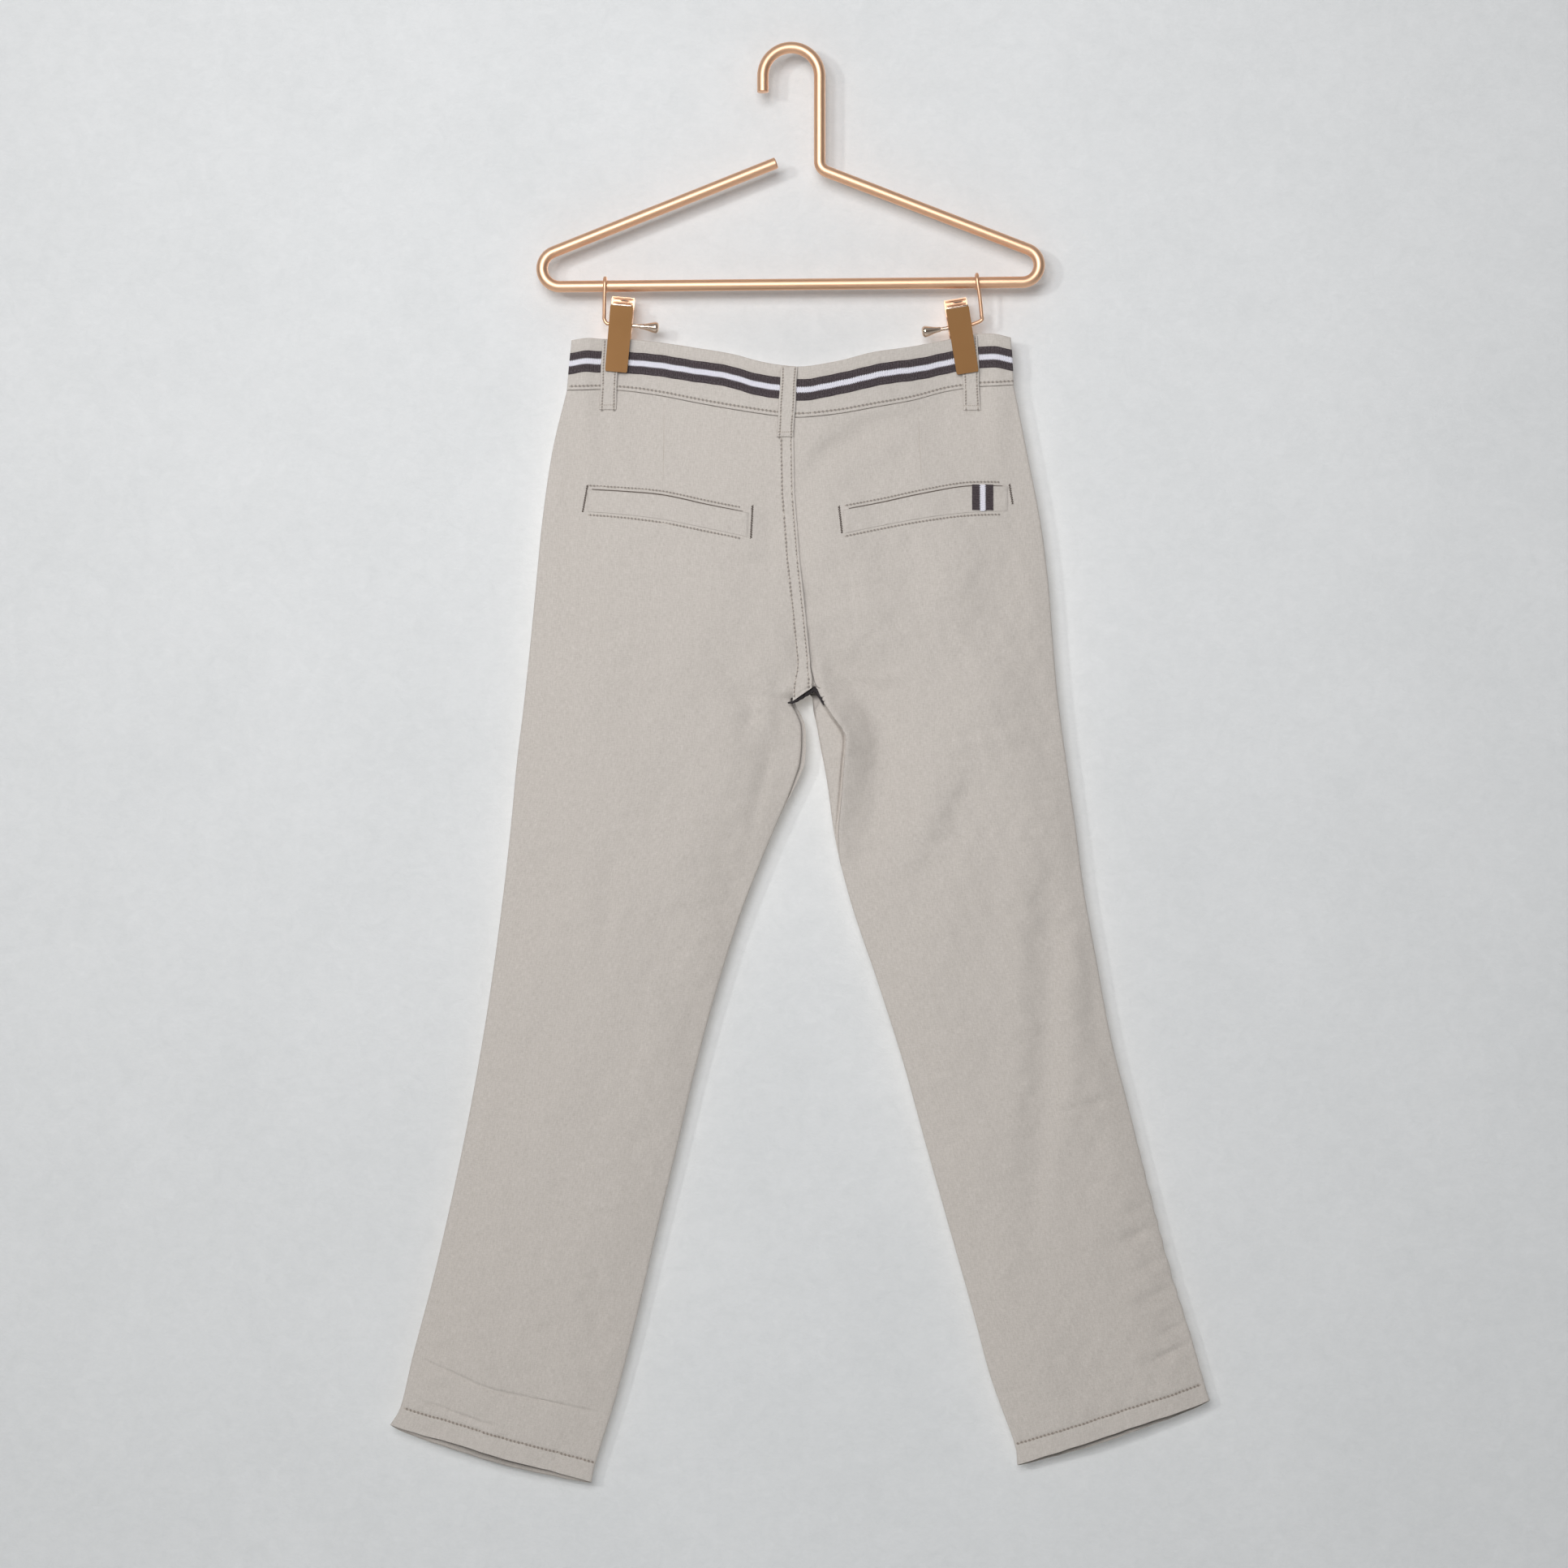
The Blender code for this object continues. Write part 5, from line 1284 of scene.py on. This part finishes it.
for (layer, side), sheet in panels.items():
    carrier = "waistband_back_cloth" if layer == "back" else f"waistband_front_{side}_cloth"
    declareSheet(*sheet, [carrier], [pieces["hem_stitches"]] if (layer, side) == ("back", "left") else [])
for name, held in (("back", ["clip_left_front_jaw", "clip_right_front_jaw"]),
                   ("frontLeft", ["clip_left_back_jaw"]), ("frontRight", ["clip_right_back_jaw"])):
    declareSheet(*bands[name], held)


rod = {
    "radius": 4.2,
    "endRadius": 3.8,
    "sides": 36,
    # x, z and bend radius of the centre line's corners
    "corners": [(-21.0, -29.0, 0.0), (-21.0, 4.0, 21.0), (21.0, 4.0, 21.0), (21.0, -85.7, 8.0),
                (236.8, -168.9, 12.6), (-241.7, -173.5, 13.3), (-11.1, -81.2, 0.0)],
    "barZ": -171.1,
    "barSlope": 0.0096,
}


def rodPath():
    corners = [(Vector((x, 0.0, z)), radius) for x, z, radius in rod["corners"]]
    path = [corners[0][0]]
    for (before, _r), (here, radius), (after, _s) in zip(corners, corners[1:], corners[2:]):
        back, ahead = (before - here).normalized(), (after - here).normalized()
        half = back.angle(ahead) / 2
        centre = here + (back + ahead).normalized() * radius / math.sin(half)
        start = here + back * radius / math.tan(half) - centre
        turn = start.cross(-back).normalized()
        sweep = math.pi - 2 * half
        steps = int(math.ceil(sweep / math.radians(5)))
        for k in range(steps + 1):
            angle = sweep * k / steps
            place = centre + start * math.cos(angle) + turn.cross(start) * math.sin(angle)
            if (place - path[-1]).length > 0.2:
                path.append(place)
    path.append(corners[-1][0])
    return path


def makeRod():
    path = rodPath()
    # cut ends with their edge just broken
    first = (path[1] - path[0]).normalized()
    final = (path[-2] - path[-1]).normalized()
    path = ([path[0], path[0] + first * 0.35, path[0] + first * 1.2] + path[1:-1]
            + [path[-1] + final * 1.2, path[-1] + final * 0.35, path[-1]])
    radii = np.full(len(path), rod["radius"])
    radii[0] = radii[-1] = rod["endRadius"]
    addTube("hanger_rod_bent", path, radii, rod["sides"], "copper", ["hanger_rod"])


makeRod()

clip = {
    # pivot x, pivot z, tilt, side of the wire, where the wire crosses the bar, where its leg is
    "left": (-126.1, -201.0, 5.1, -1.0, -137.6, -138.2),
    "right": (124.5, -202.2, -9.0, 1.0, 137.2, 140.6),
    "wireRadius": 1.35,
    "springRadius": 2.3,
    "springWire": 0.42,
    "springTurns": 6,
    "springLength": 9.2,
    "knobStart": 14.4,
    "knobGain": 1.08,      # a little fuller than its solid
}


def clipPoint(side, x, y, z):
    # a place from the clip's pivot, turned with the clip
    pivotX, pivotZ, tilt = clip[side][:3]
    cosine, sine = math.cos(math.radians(tilt)), math.sin(math.radians(tilt))
    return pivotX + x * cosine + z * sine, y, pivotZ - x * sine + z * cosine


def makeJaw(side, layer, finish):
    # the pressed jaw takes its solid's faces, with the sheet's edges rounded over; its least y in mm
    name = f"clip_{side}_{layer}_jaw"
    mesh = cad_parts[name].data.copy()
    shape = bmesh.new()
    shape.from_mesh(mesh)
    bmesh.ops.remove_doubles(shape, verts=shape.verts, dist=1e-6)
    bmesh.ops.dissolve_limit(shape, angle_limit=math.radians(1.0), verts=shape.verts, edges=shape.edges)
    sharp = [e for e in shape.edges if len(e.link_faces) == 2 and e.calc_face_angle(0) > math.radians(25)]
    bmesh.ops.bevel(shape, geom=sharp, offset=0.22 * mm, segments=2, profile=0.5, affect="EDGES",
                    clamp_overlap=True)
    for face in shape.faces:
        face.smooth = face.calc_area() < 2.0 * mm * mm  # the rounded edges only, the plate stays flat
    mesh.clear_geometry()
    shape.to_mesh(mesh)
    shape.free()
    mesh.materials.clear()
    addPiece(name + "_pressed", mesh, finish, [name])
    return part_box(name)[0].y / mm


def addClipTube(side, label, places, radius, sides, finish):
    # a tube through places from the clip's pivot
    addTube(f"clip_{side}_{label}", [clipPoint(side, *place) for place in places], radius, sides, finish)


def makeClip(side):
    pivotZ = clip[side][1]
    wireSide, barX, legX = clip[side][3:]
    plate = makeJaw(side, "front", "bronze")
    thumb = makeJaw(side, "back", "copper")
    springLow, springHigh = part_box(f"clip_{side}_spring")
    pinY = (springLow.y + springHigh.y) / 2 / mm
    # the plate's top is rolled over into a round bead, made in paler polished metal than the bronze plate as
    # a painted highlight
    bead = [(x, plate + 0.5, 13.6) for x in np.linspace(-8.2, 8.2, 9)]
    addClipTube(side, "rolled_edge_highlight", bead, [0.5] + [0.85] * 7 + [0.5], 14, "champagne")
    # the back plate's thumb piece, with its pressed slot drawn as a dark tube of painted shade
    for label, z, half in (("upper", 19.8, 7.6), ("lower", 16.6, 7.2)):
        ridge = [(x, thumb + 0.1, z) for x in np.linspace(-half, half, 7)]
        addClipTube(side, "thumb_" + label, ridge, [0.3] + [0.55] * 5 + [0.3], 10, "copper")
    slot = [(x, thumb - 0.05, 18.1) for x in np.linspace(-2.0, 5.0, 5)]
    addClipTube(side, "thumb_slot_shade", slot, [0.15, 0.4, 0.4, 0.4, 0.15], 8, "brownThreadAndShade")

    # the wire: over the bar, down its leg and along the pin to the knob
    barZ = rod["barZ"] + rod["barSlope"] * barX
    legZ = pivotZ + 8.0
    reach = rod["radius"] + 0.3 + clip["wireRadius"]
    route = []
    for degrees in (-40, 0, 35, 70, 105, 140, 180):
        angle = math.radians(degrees)
        route.append((barX, reach * math.cos(angle), barZ + reach * math.sin(angle)))
    route += [(mix(barX, legX, 0.6), mix(-reach, pinY, 0.35), mix(barZ, legZ, 0.5)),
              (legX, mix(-reach, pinY, 0.8), legZ),
              (legX, pinY, clipPoint(side, wireSide * 8.5, 0.0, 3.2)[2])]
    for along in (10.3, 7.5, 0.0, -8.5, -clip["knobStart"] + 0.3):
        route.append(clipPoint(side, wireSide * along, pinY, 0.0))
    addTube(f"clip_{side}_wire_bent", smoothed(route, 8), clip["wireRadius"], 18, "copper",
            [f"clip_{side}_wire"])

    # teardrop knob: along the axis and out from it, in mm
    drop = [(0.0, 1.5), (0.25, 1.75), (2.5, 1.95), (5.0, 2.5), (7.5, 3.2), (9.4, 3.75), (10.6, 3.9),
            (11.5, 3.72), (12.2, 3.2), (12.7, 2.3), (12.95, 1.2), (13.0, 0.2)]
    profile = smoothed(drop, 4) * clip["knobGain"]
    pin = Vector(clipPoint(side, 0.0, pinY, 0.0))
    along = (Vector(clipPoint(side, -wireSide, pinY, 0.0)) - pin).normalized()
    start = Vector(clipPoint(side, -wireSide * clip["knobStart"], pinY, 0.0))
    centres = [start + along * float(p[0]) for p in profile]
    addTube(f"clip_{side}_knob_turned", centres, np.maximum(profile[:, 1], 0.1), 32, "champagne",
            [f"clip_{side}_knob"], 70.0)
    neck = [(-wireSide * out, pinY, 0.0) for out in (8.8, 11.5, clip["knobStart"] + 0.2)]
    addClipTube(side, "knob_neck", neck, clip["wireRadius"] + 0.12, 20, "champagne")

    # the spring round the pin
    across = Vector((0.0, 1.0, 0.0))
    up = along.cross(across)
    radius = clip["springRadius"] - clip["springWire"]
    turns = np.linspace(0, 2 * math.pi * clip["springTurns"], clip["springTurns"] * 20 + 1)
    coil = []
    for k, turn in enumerate(turns):
        centre = pin + along * (clip["springLength"] * (k / (len(turns) - 1) - 0.5))
        coil.append(centre + (across * math.cos(turn) + up * math.sin(turn)) * radius)
    addTube(f"clip_{side}_spring_coil", coil, clip["springWire"], 8, "copper", [f"clip_{side}_spring"])


for side in ("left", "right"):
    makeClip(side)
print("hanger and clips made")


studio = {
    # the wall leans a little, so that the hems hang close to it: its y at z = 0 and z = -1060
    "wallY": (22.5, 12.7),
    "wallLight": "#E3E4E4",
    "wallDark": "#D2D4D4",
    "wallSpread": (0.55, 1.75),
    "wallEnds": (-1.6, 4.0),  # m
    "halfWidth": 6.0,         # m
    "floorZ": -1500.0,
    "roomColour": "#F7F8FA",
    "roomLight": (0.045, 0.34),  # near the ground and near the ceiling
    "keyPower": 12.3,
    "softPower": 15.2,
    "backPower": 80.0,
    "cameraY": -2200.0,
    "cameraX": -5.4,
    "cameraZ": -540.6,
    "lens": 68.3,
}


def makeWall():
    # painted plaster, a little cloudy and trowelled; from behind it is clear, and light passes it
    material, tree, shader = newMaterial("painted plaster", {"Roughness": 0.9})
    place = (addNode(tree, "TexCoord"), "Object")
    cloud = noise(tree, place, 9.0, 5.0, Roughness=0.6)
    lumps = noise(tree, place, 75.0, 6.0, Roughness=0.7, Distortion=0.8)
    grit = noise(tree, stretched(tree, place, (0.5, 1.0, 1.0)), 330.0, 3.0, Roughness=0.6, Distortion=1.2)
    rough = calculate(tree, "MULTIPLY_ADD", grit, 0.6, lumps)
    summed = calculate(tree, "MULTIPLY_ADD", cloud, 0.7, rough)
    shade = ranged(tree, summed, *studio["wallSpread"])
    connect(tree, shader, mixColours(tree, shade, studio["wallDark"], studio["wallLight"]), rough, 0.6, 0.5)
    seen = (addNode(tree, "NewGeometry"), "Backfacing")
    clear = calculate(tree, "MAXIMUM", seen, (addNode(tree, "LightPath"), "Is Shadow Ray"))
    through = addNode(tree, "BsdfTransparent")
    surface = addNode(tree, "MixShader", {}, {0: clear, 1: (shader, "BSDF"), 2: (through, "BSDF")})
    tree.links.new(surface.outputs[0], tree.nodes["Material Output"].inputs["Surface"])
    high, low = studio["wallY"]
    (lowZ, lowY), (topZ, topY) = [(z, (high + (high - low) * z / 1.06) * mm) for z in studio["wallEnds"]]
    wide = studio["halfWidth"]
    floorZ = studio["floorZ"] * mm
    for name, near, far in (("wall", (lowY, lowZ), (topY, topZ)), ("floor", (-wide, floorZ), (wide, floorZ))):
        mesh = bpy.data.meshes.new(name)
        corners = [(-wide, *near), (wide, *near), (wide, *far), (-wide, *far)]
        mesh.from_pydata(corners, [], [(0, 1, 2, 3)])
        mesh.materials.append(material)
        thing = bpy.data.objects.new(name, mesh)
        bpy.context.collection.objects.link(thing)


def addLight(name, place, target, size, power, colour, spread=180.0):
    light = bpy.data.lights.new(name, "AREA")
    light.size = size
    light.spread = math.radians(spread)
    light.energy = power
    light.color = linearColour(colour)[:3]
    thing = bpy.data.objects.new(name, light)
    thing.location = place
    thing.rotation_euler = (Vector(target) - Vector(place)).to_track_quat("-Z", "Y").to_euler()
    bpy.context.collection.objects.link(thing)


makeWall()
addLight("key", (-1.45, -2.3, 0.1), (0.0, 0.0, -0.5), 0.2, studio["keyPower"], "#FFFEFC")
addLight("soft box", (-0.35, -2.3, 0.15), (0.05, 0.0, -0.05), 1.1, studio["softPower"], "#FDFDFF", 112.0)
addLight("back fill", (0.8, 2.6, 0.4), (0.0, 0.0, -0.5), 2.0, studio["backPower"], "#FFFFFF")


def makeRoom():
    # a pale room: light above, greyer towards the ground
    world = bpy.data.worlds.new("pale room")
    world.use_nodes = True
    tree = world.node_tree
    split = addNode(tree, "SeparateXYZ", {}, {"Vector": (addNode(tree, "TexCoord"), "Generated")})
    strength, output = ranged(tree, (split, "Z"), -0.35, 0.8, *studio["roomLight"],
                              interpolation_type="SMOOTHSTEP")
    background = tree.nodes["Background"]
    background.inputs["Color"].default_value = linearColour(studio["roomColour"])
    tree.links.new(strength.outputs[output], background.inputs["Strength"])
    bpy.context.scene.world = world


makeRoom()
bpy.context.scene.view_settings.view_transform = "Standard"
bpy.context.scene.view_settings.look = "None"

camera = bpy.data.cameras.new("camera")
camera.lens = studio["lens"]
camera.sensor_width = 36.0
cameraObject = bpy.data.objects.new("camera", camera)
cameraObject.location = (studio["cameraX"] * mm, studio["cameraY"] * mm, studio["cameraZ"] * mm)
cameraObject.rotation_euler = (math.pi / 2, 0.0, 0.0)
bpy.context.collection.objects.link(cameraObject)
bpy.context.scene.camera = cameraObject
print("studio made")
